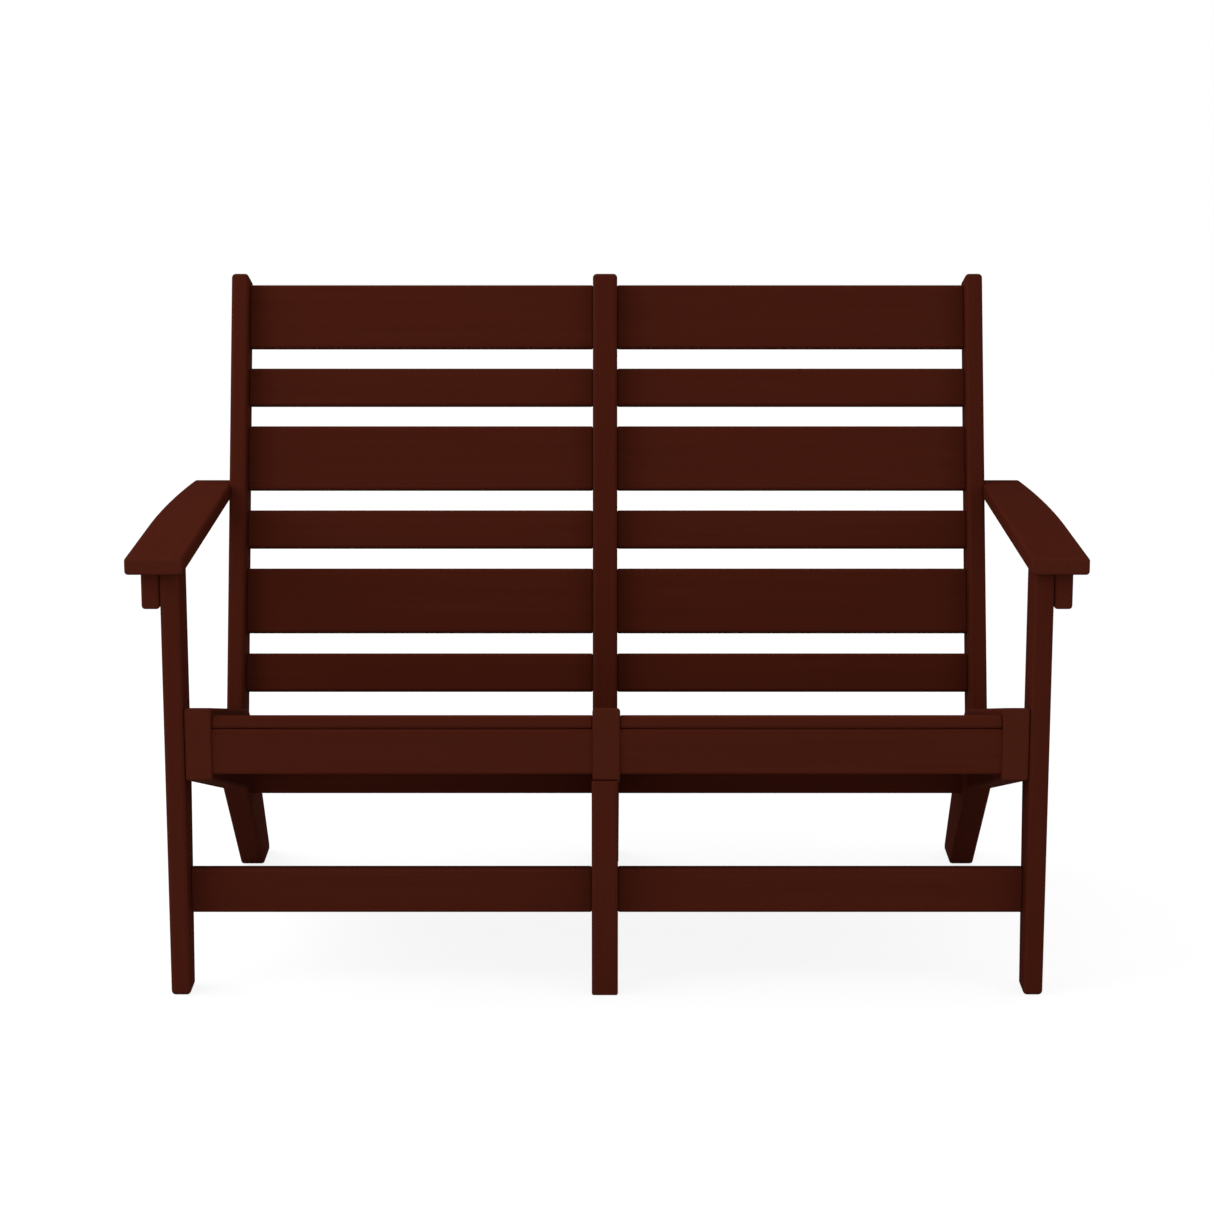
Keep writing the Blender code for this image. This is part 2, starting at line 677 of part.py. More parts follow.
def build_seat(root, parts):
    """Slats of both bays, on cleats that are screwed to the rails."""
    cleat_length, cleat_middle = cleat_centres()
    for side, sign in SIDES:
        low, high = bay(sign, RAIL_INNER_FACE_X, CENTRE_RAIL_SHIFT, CENTRE_RAIL_THICKNESS)
        slats = []
        for number, middle in seat_rows():
            name = "seat_slat_" + side + "_" + str(number)
            slats.append(batten(name, root, low, high, middle, SEAT_SLAT_WIDTH,
                                SEAT_SLAT_THICKNESS, -RAIL_TOP_SLOPE))
        ends = (("left", low, low + CLEAT_WIDTH, -1.0), ("right", high - CLEAT_WIDTH, high, 1.0))
        for end, cleat_low, cleat_high, outward in ends:
            name = "seat_cleat_" + side + "_bay_" + end
            carrier = cleat(name, root, cleat_low, cleat_high)
            x_middle = (cleat_low + cleat_high) / 2.0
            places = []
            for _, middle in seat_rows():
                below = ABOVE_SEAT * (SEAT_SLAT_THICKNESS / 2.0 + FIT_GAP + CLEAT_THICKNESS)
                start = middle - below
                start.x = x_middle
                if abs((start - cleat_middle).dot(ALONG_SEAT)) < cleat_length / 2.0 - CLEAT_END_MARGIN:
                    places.append((start, ABOVE_SEAT.copy()))
            drill_for_screws("seat_slat_screw_holes_" + side + "_bay_" + end, root, places,
                             SEAT_SCREW_LENGTH, [carrier] + slats)
            rail = parts["rail_" + end] if end == side else parts["rail_centre"]
            face = cleat_low if outward > 0.0 else cleat_high
            places = []
            for share in (-SCREW_EDGE_SHARE, SCREW_EDGE_SHARE):
                start = cleat_middle + ALONG_SEAT * (cleat_length * share)
                start.x = face
                places.append((start, Vector((outward, 0.0, 0.0))))
            drill_for_screws("seat_cleat_screw_holes_" + side + "_bay_" + end, root, places,
                             CLEAT_SCREW_LENGTH, [carrier, rail])


def spread_pair(low, high):
    """Two heights at a quarter and three quarters between a low and a high one."""
    rise = (high - low) * SCREW_EDGE_SHARE
    return low + rise, high - rise


def fix_across(name, root, heights, y, outer_face, outer_pieces, middle, middle_thickness,
               middle_piece, boards):
    """Holes for screws into the outer ends of two boards and for pins in the middle."""
    for side, sign in SIDES:
        places = [
            (Vector((sign * outer_face, y, z)), Vector((-sign, 0.0, 0.0)))
            for z in heights
        ]
        drill_for_screws(name + "_screw_holes_" + side, root, places, LONG_SCREW_LENGTH,
                         [outer_pieces[side], boards[side]])
    length = middle_thickness + PIN_REACH * 2.0
    places = [
        (Vector((middle - length / 2.0, y, z)), Vector((1.0, 0.0, 0.0)))
        for z in heights
    ]
    drill_for_pins(name + "_pin_holes", root, places, length,
                   [middle_piece, boards["left"], boards["right"]])


def sloped_top_outline(front_y, thickness, bottom_z):
    """Outline of an upright board whose top is cut to the seat's slope."""
    back_y = front_y + thickness
    drop = FIT_GAP / math.cos(RAIL_TOP_SLOPE)
    return [
        (front_y, bottom_z),
        (back_y, bottom_z),
        (back_y, seat_underside(back_y) - drop),
        (front_y, seat_underside(front_y) - drop),
    ]


def build_cross_boards(root, parts):
    """Aprons, lower stretchers and rear cross members of both bays."""
    aprons = {}
    stretchers = {}
    members = {}
    for side, sign in SIDES:
        low, high = bay(sign, RAIL_INNER_FACE_X, CENTRE_RAIL_SHIFT, CENTRE_RAIL_THICKNESS)
        outline = sloped_top_outline(APRON_FRONT_Y, APRON_THICKNESS, APRON_BOTTOM_Z)
        aprons[side] = board("front_apron_" + side, root, outline, low, high,
                             SMALL_EDGE_RADIUS, VISIBLE_ROUNDING_STEPS, False)
        outline = sloped_top_outline(CROSS_MEMBER_FRONT_Y, CROSS_MEMBER_THICKNESS,
                                     CROSS_MEMBER_BOTTOM_Z)
        members[side] = board("rear_cross_member_" + side, root, outline, low, high,
                              SMALL_EDGE_RADIUS, VISIBLE_ROUNDING_STEPS, False)
        low, high = bay(sign, RAIL_OUTER_FACE_X, CENTRE_POST_SHIFT, CENTRE_LEG_THICKNESS)
        centre = Vector((0.0, STRETCHER_FRONT_Y + STRETCHER_THICKNESS / 2.0,
                         STRETCHER_BOTTOM_Z + STRETCHER_HEIGHT / 2.0))
        stretchers[side] = batten("front_stretcher_" + side, root, low, high, centre,
                                  STRETCHER_THICKNESS, STRETCHER_HEIGHT, 0.0)
    rails = {"left": parts["rail_left"], "right": parts["rail_right"]}
    legs = {"left": parts["leg_left"], "right": parts["leg_right"]}
    apron_y = APRON_FRONT_Y + APRON_THICKNESS / 2.0
    fix_across("apron", root, spread_pair(APRON_BOTTOM_Z, seat_underside(apron_y)), apron_y,
               RAIL_OUTER_FACE_X, rails, CENTRE_RAIL_SHIFT, CENTRE_RAIL_THICKNESS,
               parts["rail_centre"], aprons)
    stretcher_top = STRETCHER_BOTTOM_Z + STRETCHER_HEIGHT
    fix_across("stretcher", root, spread_pair(STRETCHER_BOTTOM_Z, stretcher_top),
               STRETCHER_FRONT_Y + STRETCHER_THICKNESS / 2.0, LEG_OUTER_FACE_X, legs,
               CENTRE_POST_SHIFT, CENTRE_LEG_THICKNESS, parts["leg_centre"], stretchers)
    member_low = CROSS_MEMBER_BOTTOM_Z + CROSS_SCREW_RISE
    fix_across("cross_member", root, (member_low, member_low + CROSS_SCREW_SPACING),
               CROSS_MEMBER_FRONT_Y + CROSS_MEMBER_THICKNESS / 2.0, RAIL_OUTER_FACE_X, rails,
               CENTRE_RAIL_SHIFT, CENTRE_RAIL_THICKNESS, parts["rail_centre"], members)


# Arms
def arm_plan():
    """Half plan of an arm: straight inner edge, outer edge that curves in to the back."""
    inner = ARM_INNER_FACE_X
    outer = inner + ARM_WIDTH
    rear = upright_front(ARM_MIDDLE_Z) + ARM_REAR_REACH
    run = rear - ARM_CURVE_START_Y
    narrowing = ARM_WIDTH - ARM_REAR_WIDTH
    radius = (run ** 2 + narrowing ** 2) / (2.0 * narrowing)
    sweep = math.asin(run / radius)
    points = [(inner, rear), (inner, ARM_FRONT_Y), (outer, ARM_FRONT_Y)]
    for step in range(ARM_CURVE_STEPS + 1):
        angle = sweep * step / ARM_CURVE_STEPS
        points.append((outer - radius * (1.0 - math.cos(angle)),
                       ARM_CURVE_START_Y + radius * math.sin(angle)))
    return points


def arm(name, root, sign):
    """Arm board, flat on top of its leg and against its upright."""
    shape = bmesh.new()
    plan = [(sign * x, y) for x, y in arm_plan()]
    rings = []
    for z in (0.0, ARM_THICKNESS):
        rings.append([shape.verts.new((x, y, z)) for x, y in plan])
    bridge(shape, rings[0], rings[1])
    shape.faces.new(rings[0])
    shape.faces.new(reversed(rings[1]))
    bmesh.ops.recalc_face_normals(shape, faces=shape.faces)
    weigh_edges(shape, True, ())
    piece = add_piece(name, shape, root, (0.0, 0.0, ARM_UNDERSIDE_Z))
    round_edges(piece, EDGE_RADIUS, VISIBLE_ROUNDING_STEPS)
    piece.data.materials.append(finish_material(name, BOARD_COLOUR, BOARD_ROUGHNESS, 0.0))
    return piece


def notch_arm(name, root, rest, sign):
    """Let the arm's inner edge in round the front and the outer face of its upright."""
    low = (ARM_UNDERSIDE_Z - UPRIGHT_FRONT_Z) / math.cos(UPRIGHT_RECLINE) - ARM_THICKNESS
    high = low + ARM_THICKNESS * 3.0
    corners = (
        back_point(low, -FIT_GAP),
        back_point(low, UPRIGHT_DEPTH * 2.0),
        back_point(high, UPRIGHT_DEPTH * 2.0),
        back_point(high, -FIT_GAP),
    )
    outline = [(point.y, point.z) for point in corners]
    face = UPRIGHT_OUTER_FACE_X + FIT_GAP
    x_low, x_high = mirrored(sign, UPRIGHT_INNER_FACE_X, face)
    cutter = board(name, root, outline, x_low, x_high)
    cutter.modifiers.clear()
    cut_with([rest], hide_cutter(cutter))


def build_arms(root, parts):
    """Arms with their brackets, screw holes and hidden pins."""
    front = LEG_FRONT_Y + BRACKET_SETBACK
    top = ARM_UNDERSIDE_Z - FIT_GAP
    bottom = ARM_UNDERSIDE_Z - BRACKET_HEIGHT
    outline = [
        (front, bottom),
        (front + BRACKET_DEPTH, bottom),
        (front + BRACKET_DEPTH, top),
        (front, top),
    ]
    screw_ys = spread_pair(front, front + BRACKET_DEPTH)
    for side, sign in SIDES:
        rest = arm("arm_" + side, root, sign)
        notch_arm("arm_notch_" + side, root, rest, sign)
        inner = LEG_OUTER_FACE_X + FIT_GAP
        low, high = mirrored(sign, inner, inner + BRACKET_THICKNESS)
        block = board("arm_bracket_" + side, root, outline, low, high)
        x_middle = sign * (inner + BRACKET_THICKNESS / 2.0)
        places = [(Vector((x_middle, y, bottom)), Vector((0.0, 0.0, 1.0))) for y in screw_ys]
        drill_for_screws("arm_screw_holes_" + side, root, places, ARM_SCREW_LENGTH,
                         [block, rest], ARM_SCREW_SINK)
        middle_y = front + BRACKET_DEPTH / 2.0
        places = [
            (Vector((sign * (inner + BRACKET_THICKNESS), middle_y, z)), Vector((-sign, 0.0, 0.0)))
            for z in spread_pair(bottom, top)
        ]
        drill_for_screws("arm_bracket_screw_holes_" + side, root, places,
                         BRACKET_SCREW_LENGTH, [block, parts["leg_" + side]])
        start = Vector((sign * (UPRIGHT_OUTER_FACE_X - ARM_PIN_REACH),
                        upright_front(ARM_MIDDLE_Z) + ARM_PIN_SETBACK, ARM_MIDDLE_Z))
        add_pin("arm_pin_" + side, root, start, Vector((sign, 0.0, 0.0)),
                ARM_PIN_REACH * 2.0, [rest, parts["upright_" + side]])


# Joints of the side frames
def add_nut(name, root, start, direction, near):
    """Hexagonal nut on a bolt's end."""
    shape = bmesh.new()
    bore = BOLT_RADIUS / math.cos(math.pi / NUT_SIDES) + FIT_GAP
    add_ring(shape, start, direction, NUT_RADIUS, bore, near, near + NUT_HEIGHT, NUT_SIDES)
    dress_steel(add_piece(name, shape, root), STEEL_ROUGHNESS)


def build_leg_bolts(root, parts):
    """Bolts and nuts that hold the outer legs to the rails."""
    clamped = LEG_OUTER_FACE_X - RAIL_INNER_FACE_X
    nut_near = clamped + FIT_GAP
    lower = rail_underside(BOLT_Y) + BOLT_EDGE
    for side, sign in SIDES:
        inward = Vector((-sign, 0.0, 0.0))
        for level, z in (("lower", lower), ("upper", lower + BOLT_SPACING)):
            start = Vector((sign * LEG_OUTER_FACE_X, BOLT_Y, z))
            add_bolt("leg_bolt_" + side + "_" + level, root, start, inward,
                     nut_near + NUT_HEIGHT + BOLT_TAIL, clamped + CUT_OVERRUN,
                     [parts["leg_" + side], parts["rail_" + side]])
            add_nut("leg_bolt_nut_" + side + "_" + level, root, start, inward, nut_near)


def build_upright_joints(root, parts):
    """Bolts through the tenons, and pins between the centre leg and its rail."""
    along = shoulder_along(0.0) - TENON_LENGTH / 2.0
    point = back_point(along, upright_depth(along) / 2.0)
    faces = (
        ("left", -RAIL_OUTER_FACE_X, 1.0),
        ("right", RAIL_OUTER_FACE_X, -1.0),
        ("centre", CENTRE_RAIL_SHIFT + CENTRE_RAIL_THICKNESS / 2.0, -1.0),
    )
    for place, face, inward in faces:
        start = Vector((face, point.y, point.z))
        add_bolt("upright_bolt_" + place, root, start, Vector((inward, 0.0, 0.0)),
                 UPRIGHT_BOLT_LENGTH, UPRIGHT_BOLT_LENGTH + FIT_GAP,
                 [parts["rail_" + place], parts["upright_" + place]])
    for number, y in enumerate(spread_pair(LEG_FRONT_Y, LEG_FRONT_Y + LEG_DEPTH), start=1):
        start = Vector((CENTRE_POST_SHIFT, y, rail_underside(y) - POST_PIN_REACH))
        add_pin("centre_leg_pin_" + str(number), root, start, Vector((0.0, 0.0, 1.0)),
                POST_PIN_REACH * 2.0, [parts["leg_centre"], parts["rail_centre"]])


def main():
    """Build the loveseat."""
    clear_scene()
    root = add_root()
    parts = build_side_frames(root)
    build_back(root, parts)
    build_seat(root, parts)
    build_cross_boards(root, parts)
    build_arms(root, parts)
    build_leg_bolts(root, parts)
    build_upright_joints(root, parts)


main()
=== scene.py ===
"""Looks of a two-seat garden loveseat of mahogany plastic boards.

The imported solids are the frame. A board with eased edges and sawn ends, or a turned bolt,
stands in for each of them at the same place, and only the pins and nuts stay as packed. Wood
screws sit in the boards' counterbores. Lengths are in metres, +Z is up, the seat faces -Y,
and left is -X, as someone in front of the seat sees it.
"""

import logging
import math
import random
from dataclasses import dataclass, field
from enum import Enum
from typing import Iterable, Iterator, Sequence

import bmesh
import bpy
import numpy as np
from mathutils import Euler, Matrix, Vector


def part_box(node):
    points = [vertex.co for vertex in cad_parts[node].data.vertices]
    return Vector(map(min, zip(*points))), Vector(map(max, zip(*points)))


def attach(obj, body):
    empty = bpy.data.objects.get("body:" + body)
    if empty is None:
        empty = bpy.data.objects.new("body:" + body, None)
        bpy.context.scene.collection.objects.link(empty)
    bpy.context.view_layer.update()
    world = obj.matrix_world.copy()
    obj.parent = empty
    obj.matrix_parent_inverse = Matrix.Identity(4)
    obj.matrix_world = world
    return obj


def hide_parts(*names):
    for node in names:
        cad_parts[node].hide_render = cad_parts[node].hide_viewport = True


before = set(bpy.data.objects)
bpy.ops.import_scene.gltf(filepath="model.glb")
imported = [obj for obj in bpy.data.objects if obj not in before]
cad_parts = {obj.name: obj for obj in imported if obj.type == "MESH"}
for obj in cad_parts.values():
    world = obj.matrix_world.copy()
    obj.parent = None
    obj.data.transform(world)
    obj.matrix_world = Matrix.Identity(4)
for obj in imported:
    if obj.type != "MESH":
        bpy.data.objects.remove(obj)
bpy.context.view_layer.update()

# Short names of types, and shared values
Shape = bmesh.types.BMesh
Piece = bpy.types.Object
Tree = bpy.types.NodeTree
Output = bpy.types.NodeSocket

LOG = logging.getLogger("loveseat")
BODY = "root"
WHITE = (1.0, 1.0, 1.0, 1.0)

FIT_GAP = 0.0003
END_REACH = 0.0008
CUT_OVERRUN = 0.004
HEAD_CUTTER = 0.05
EASING_STEPS = 5
HEAD_RINGS = 14
SHARP_ANGLE = math.radians(38.0)
FLAT_FACE_WEIGHT = 90
SAWN_LIMIT = 0.8
GRAIN_SHIFT = 5.0
SEAT_SLOPE = math.radians(14.18)
BACK_RECLINE = math.radians(17.83)


class Side(Enum):
    """Half of the seat, as someone in front of it sees it, with the sign of its x."""

    LEFT = -1.0
    RIGHT = 1.0

    @property
    def word(self) -> str:
        """Name of the side as the nodes spell it."""
        return self.name.lower()

    @property
    def other(self) -> "Side":
        """The opposite side."""
        return Side(-self.value)

    @property
    def outward(self) -> Vector:
        """Direction away from the seat's middle."""
        return Vector((self.value, 0.0, 0.0))

    @property
    def inward(self) -> Vector:
        """Direction to the seat's middle."""
        return Vector((-self.value, 0.0, 0.0))


class Slot(Enum):
    """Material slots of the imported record."""

    BOARD = "board"
    STEEL = "steel"


class Run(Enum):
    """Direction in which a board was extruded, along which its fine lines run."""

    SIDEWAYS = (1.0, 0.0, 0.0)
    FRONT_TO_BACK = (0.0, 1.0, 0.0)
    UPWARD = (0.0, 0.0, 1.0)
    DOWN_THE_SEAT = (0.0, math.cos(SEAT_SLOPE), -math.sin(SEAT_SLOPE))
    UP_THE_BACK = (0.0, math.sin(BACK_RECLINE), math.cos(BACK_RECLINE))

    @property
    def along(self) -> Vector:
        """Unit vector of the direction."""
        return Vector(self.value)

    def axes(self) -> np.ndarray:
        """Unit vectors along, across and through a board.

        Returns:
            A matrix whose rows are the three directions.
        """
        along = self.along
        helper = Run.UPWARD.along if self is Run.SIDEWAYS else Run.SIDEWAYS.along
        across = along.cross(helper).normalized()
        return np.array((along, across, along.cross(across)))


class Cut(Enum):
    """How a board's outline was made."""

    FROM_PLANK = "the outline is sawn from a plank, whose faces are eased all round"
    TO_LENGTH = "the outline is the section, cut to length between two other boards"


# Lines of the side view
@dataclass(frozen=True)
class SideView:
    """Lines of the seat from the side, which place every board; y counts from the rails' front."""

    front_y: float
    rail_top_front: float = 0.4147
    rail_front_height: float = 0.1037
    underside_slope: float = math.radians(16.86)
    rail_top_length: float = 0.4700
    heel_slope: float = math.radians(36.80)
    heel_run: float = 0.0550
    foot_front: float = 0.6347
    foot_length: float = 0.0800
    tip_height: float = 0.0120
    rear_leg_slope: float = math.radians(40.60)
    upright_y: float = 0.4497
    upright_z: float = 0.3140
    seat_recess: float = 0.0098
    seat_thickness: float = 0.0185

    def point(self, y: float, z: float) -> Vector:
        """Point of the side view in the row frame."""
        return Vector((0.0, self.front_y + y, z))

    def outline(self, *corners: tuple[float, float]) -> list[Vector]:
        """Outline from distances behind the rails' front and heights."""
        return [self.point(*corner) for corner in corners]

    @property
    def heel(self) -> float:
        """Distance of the rails' heel behind their front."""
        return self.rail_top_length + self.heel_run

    def rail_top(self, y: float) -> float:
        """Height of the rails' sloping top edge."""
        return self.rail_top_front - y * math.tan(SEAT_SLOPE)

    def rail_heel(self, y: float) -> float:
        """Height of the steeper end of the rails' top edge."""
        fall = (y - self.rail_top_length) * math.tan(self.heel_slope)
        return self.rail_top(self.rail_top_length) - fall

    def rail_underside(self, y: float) -> float:
        """Height of the rails' underside in front of the rear legs."""
        return self.rail_top_front - self.rail_front_height - y * math.tan(self.underside_slope)

    def seat_top(self, y: float) -> float:
        """Height of the seat slats' upper face."""
        return self.rail_top(y) - self.seat_recess / math.cos(SEAT_SLOPE)

    def seat_underside(self, y: float) -> float:
        """Height of the seat slats' lower face."""
        return self.seat_top(y) - self.seat_thickness / math.cos(SEAT_SLOPE)

    def back(self, along: float, behind: float) -> Vector:
        """Point of the back, measured from the foot of the uprights' front edge.

        Args:
            along: Distance up that edge.
            behind: Distance behind it.

        Returns:
            The point in the side view.
        """
        rearward = Vector((0.0, math.cos(BACK_RECLINE), -math.sin(BACK_RECLINE)))
        foot = self.point(self.upright_y, self.upright_z)
        return foot + Run.UP_THE_BACK.along * along + rearward * behind

    def back_outline(self, *corners: tuple[float, float]) -> list[Vector]:
        """Outline from distances along and behind the uprights' front edge."""
        return [self.back(*corner) for corner in corners]

    def upright_front(self, z: float) -> float:
        """Distance of the uprights' front edge behind the rails' front, at a height."""
        return self.upright_y + (z - self.upright_z) * math.tan(BACK_RECLINE)

    def shoulder(self) -> float:
        """Distance along the back at which the uprights' front edge meets the rails."""
        rise = math.cos(BACK_RECLINE) + math.sin(BACK_RECLINE) * math.tan(SEAT_SLOPE)
        return (self.rail_top(self.upright_y) - self.upright_z) / rise


# Node trees
class Wiring:
    """Short way to place and join the nodes of one tree."""

    def __init__(self, tree: Tree) -> None:
        """Keep the tree whose nodes are placed."""
        self.tree = tree

    def fill(self, node: bpy.types.Node, *links: tuple) -> None:
        """Fill inputs of a node.

        Args:
            node: The node.
            links: Pairs of an input's name or index and a value or another node's output.
        """
        for socket, value in links:
            if isinstance(value, Output):
                self.tree.links.new(value, node.inputs[socket])
            else:
                node.inputs[socket].default_value = value

    def add(self, kind: str, *links: tuple, **settings: object) -> bpy.types.Node:
        """Place a node and fill its inputs.

        Args:
            kind: The node's type name.
            links: Pairs of an input and what it gets, as for fill.
            settings: Properties of the node itself.

        Returns:
            The new node.
        """
        node = self.tree.nodes.new(kind)
        for name, value in settings.items():
            setattr(node, name, value)
        self.fill(node, *links)
        return node

    def out(self, kind: str, *links: tuple, **settings: object) -> Output:
        """First output of a node that is placed as by add."""
        return self.add(kind, *links, **settings).outputs[0]

    def attribute(self, name: str, output: str = "Fac") -> Output:
        """What a named attribute of the mesh holds."""
        return self.add("ShaderNodeAttribute", attribute_name=name).outputs[output]

    def math(self, operation: str, *values: object) -> Output:
        """Output of a Math node on one to three values or outputs."""
        return self.out("ShaderNodeMath", *enumerate(values), operation=operation)

    def spread(self, value: object, source: tuple, target: tuple = (0.0, 1.0)) -> Output:
        """Output of a clamped Map Range node from a source range to a target range."""
        links = zip(("Value", "From Min", "From Max", "To Min", "To Max"), (value, *source, *target))
        return self.add("ShaderNodeMapRange", *links).outputs["Result"]

    def blend(self, share: object, first: object, second: object) -> Output:
        """Colour output of a Mix node."""
        links = ((0, share), (6, first), (7, second))
        return self.add("ShaderNodeMix", *links, data_type="RGBA").outputs[2]

    def noise(self, place: Output, scale: object, detail: float, roughness: float) -> Output:
        """Grey output of a Noise Texture node."""
        links = (("Vector", place), ("Scale", scale), ("Detail", detail), ("Roughness", roughness))
        return self.out("ShaderNodeTexNoise", *links)

    def bump(self, height: Output, distance: float, strength: float) -> Output:
        """Normal from a Bump node."""
        links = (("Height", height), ("Distance", distance), ("Strength", strength))
        return self.out("ShaderNodeBump", *links)

    def group(self, tree: Tree, **values: object) -> bpy.types.bpy_prop_collection:
        """Outputs of a new group node, whose inputs are named with underscores for spaces."""
        links = ((name.replace("_", " "), value) for name, value in values.items())
        return self.add("ShaderNodeGroup", *links, node_tree=tree).outputs


class Group(Wiring):
    """Node group in the making, with named sockets."""

    def __init__(self, name: str, inputs: Sequence[tuple], *outputs: tuple,
                 kind: str = "ShaderNodeTree") -> None:
        """Start the group.

        Args:
            name: The group's name.
            inputs: Name, kind and default value of each input.
            outputs: Name and kind of each output.
            kind: The type of node tree.
        """
        super().__init__(bpy.data.node_groups.new(name, kind))
        for label, socket_kind, value in inputs:
            socket = self.new_socket(label, "INPUT", socket_kind)
            if value is not None:
                socket.default_value = value
        for label, socket_kind in outputs:
            self.new_socket(label, "OUTPUT", socket_kind)
        self.given = self.add("NodeGroupInput").outputs

    def new_socket(self, label: str, in_out: str, kind: str) -> bpy.types.NodeTreeInterfaceSocket:
        """Name one socket of the group."""
        return self.tree.interface.new_socket(label, in_out=in_out, socket_type="NodeSocket" + kind)

    def close(self, *results: Output) -> Tree:
        """Join the results to the group's outputs, in their order, and give the group."""
        self.add("NodeGroupOutput", *enumerate(results))
        return self.tree


class GeometryGroup(Group):
    """Geometry tree in the making, which ends in plain geometry with a material."""

    def __init__(self, name: str, *inputs: tuple) -> None:
        """Start the tree with its own inputs and one for the material."""
        material = ("Material", "Material", None)
        super().__init__(name, (*inputs, material), ("Geometry", "Geometry"), kind="GeometryNodeTree")

    def close(self, geometry: Output) -> Tree:
        """Realize the geometry and set its material.

        Args:
            geometry: What the tree has made.

        Returns:
            The finished tree.
        """
        real = self.out("GeometryNodeRealizeInstances", (0, geometry))
        dressed = self.out("GeometryNodeSetMaterial", (0, real), ("Material", self.given["Material"]))
        self.tree.is_modifier = True
        return super().close(dressed)


# Finishes
def drawn_lines_group() -> Tree:
    """Streaks and hairlines that the extruder's die leaves along a board.

    Returns:
        The shader group.
    """
    inputs = (
        ("Place", "Vector", None),
        ("Streak Length", "Float", 0.6),
        ("Streak Width", "Float", 0.012),
        ("Line Length", "Float", 0.12),
        ("Line Width", "Float", 0.0009),
    )
    wiring = Group("drawn_lines", inputs, ("Streak", "Float"), ("Lines", "Float"))
    given = wiring.given
    found = []
    for mark, detail in (("Streak", 3.0), ("Line", 2.0)):
        length, width = given[mark + " Length"], given[mark + " Width"]
        size = wiring.out("ShaderNodeCombineXYZ", (0, length), (1, width), (2, width))
        drawn = wiring.out("ShaderNodeVectorMath", (0, given["Place"]), (1, size), operation="DIVIDE")
        found.append(wiring.noise(drawn, 1.0, detail, roughness=0.6))
    return wiring.close(*found)


def edge_wear_group() -> Tree:
    """Uneven wear along the eased edges of a piece, which also serves as a painted highlight where the
    rounded edges would catch the light.

    Returns:
        The shader group.
    """
    inputs = (
        ("Place", "Vector", None),
        ("Edge", "Float", 0.0),
        ("Patch Size", "Float", 0.03),
        ("Amount", "Float", 0.5),
    )
    wiring = Group("edge_wear", inputs, ("Wear", "Float"))
    given = wiring.given
    scale = wiring.math("DIVIDE", 1.0, given["Patch Size"])
    patches = wiring.noise(given["Place"], scale, detail=4.0, roughness=0.6)
    # Lighter edge patches: partly wear, partly a painted highlight on the rounded edges.
    share = wiring.spread(patches, source=(0.30, 0.70), target=(0.35, 1.0))
    worn_and_sheen = wiring.math("MULTIPLY", wiring.spread(given["Edge"], source=(0.05, 0.95)), share)
    return wiring.close(wiring.math("MULTIPLY", worn_and_sheen, given["Amount"]))


def saw_marks_group() -> Tree:
    """Cell structure and saw marks of a sawn end.

    Returns:
        The shader group.
    """
    inputs = (("Place", "Vector", None), ("Sawn", "Float", 0.0), ("Cell Size", "Float", 0.0011))
    wiring = Group("saw_marks", inputs, ("Cells", "Float"), ("Height", "Float"))
    given = wiring.given
    scale = wiring.math("DIVIDE", 1.0, given["Cell Size"])
    cells = wiring.noise(given["Place"], scale, detail=2.0, roughness=0.7)
    shown = wiring.math("MULTIPLY", wiring.spread(cells, source=(0.35, 0.65)), given["Sawn"])
    return wiring.close(shown, wiring.math("MULTIPLY", shown, -1.0))


def fresh_material(name: str) -> tuple[bpy.types.Material, Wiring, bpy.types.Node]:
    """Start a material.

    Args:
        name: The material's name.

    Returns:
        The material, its wiring and its Principled shader.
    """
    made = bpy.data.materials.new(name)
    made.use_nodes = True
    return made, Wiring(made.node_tree), made.node_tree.nodes["Principled BSDF"]


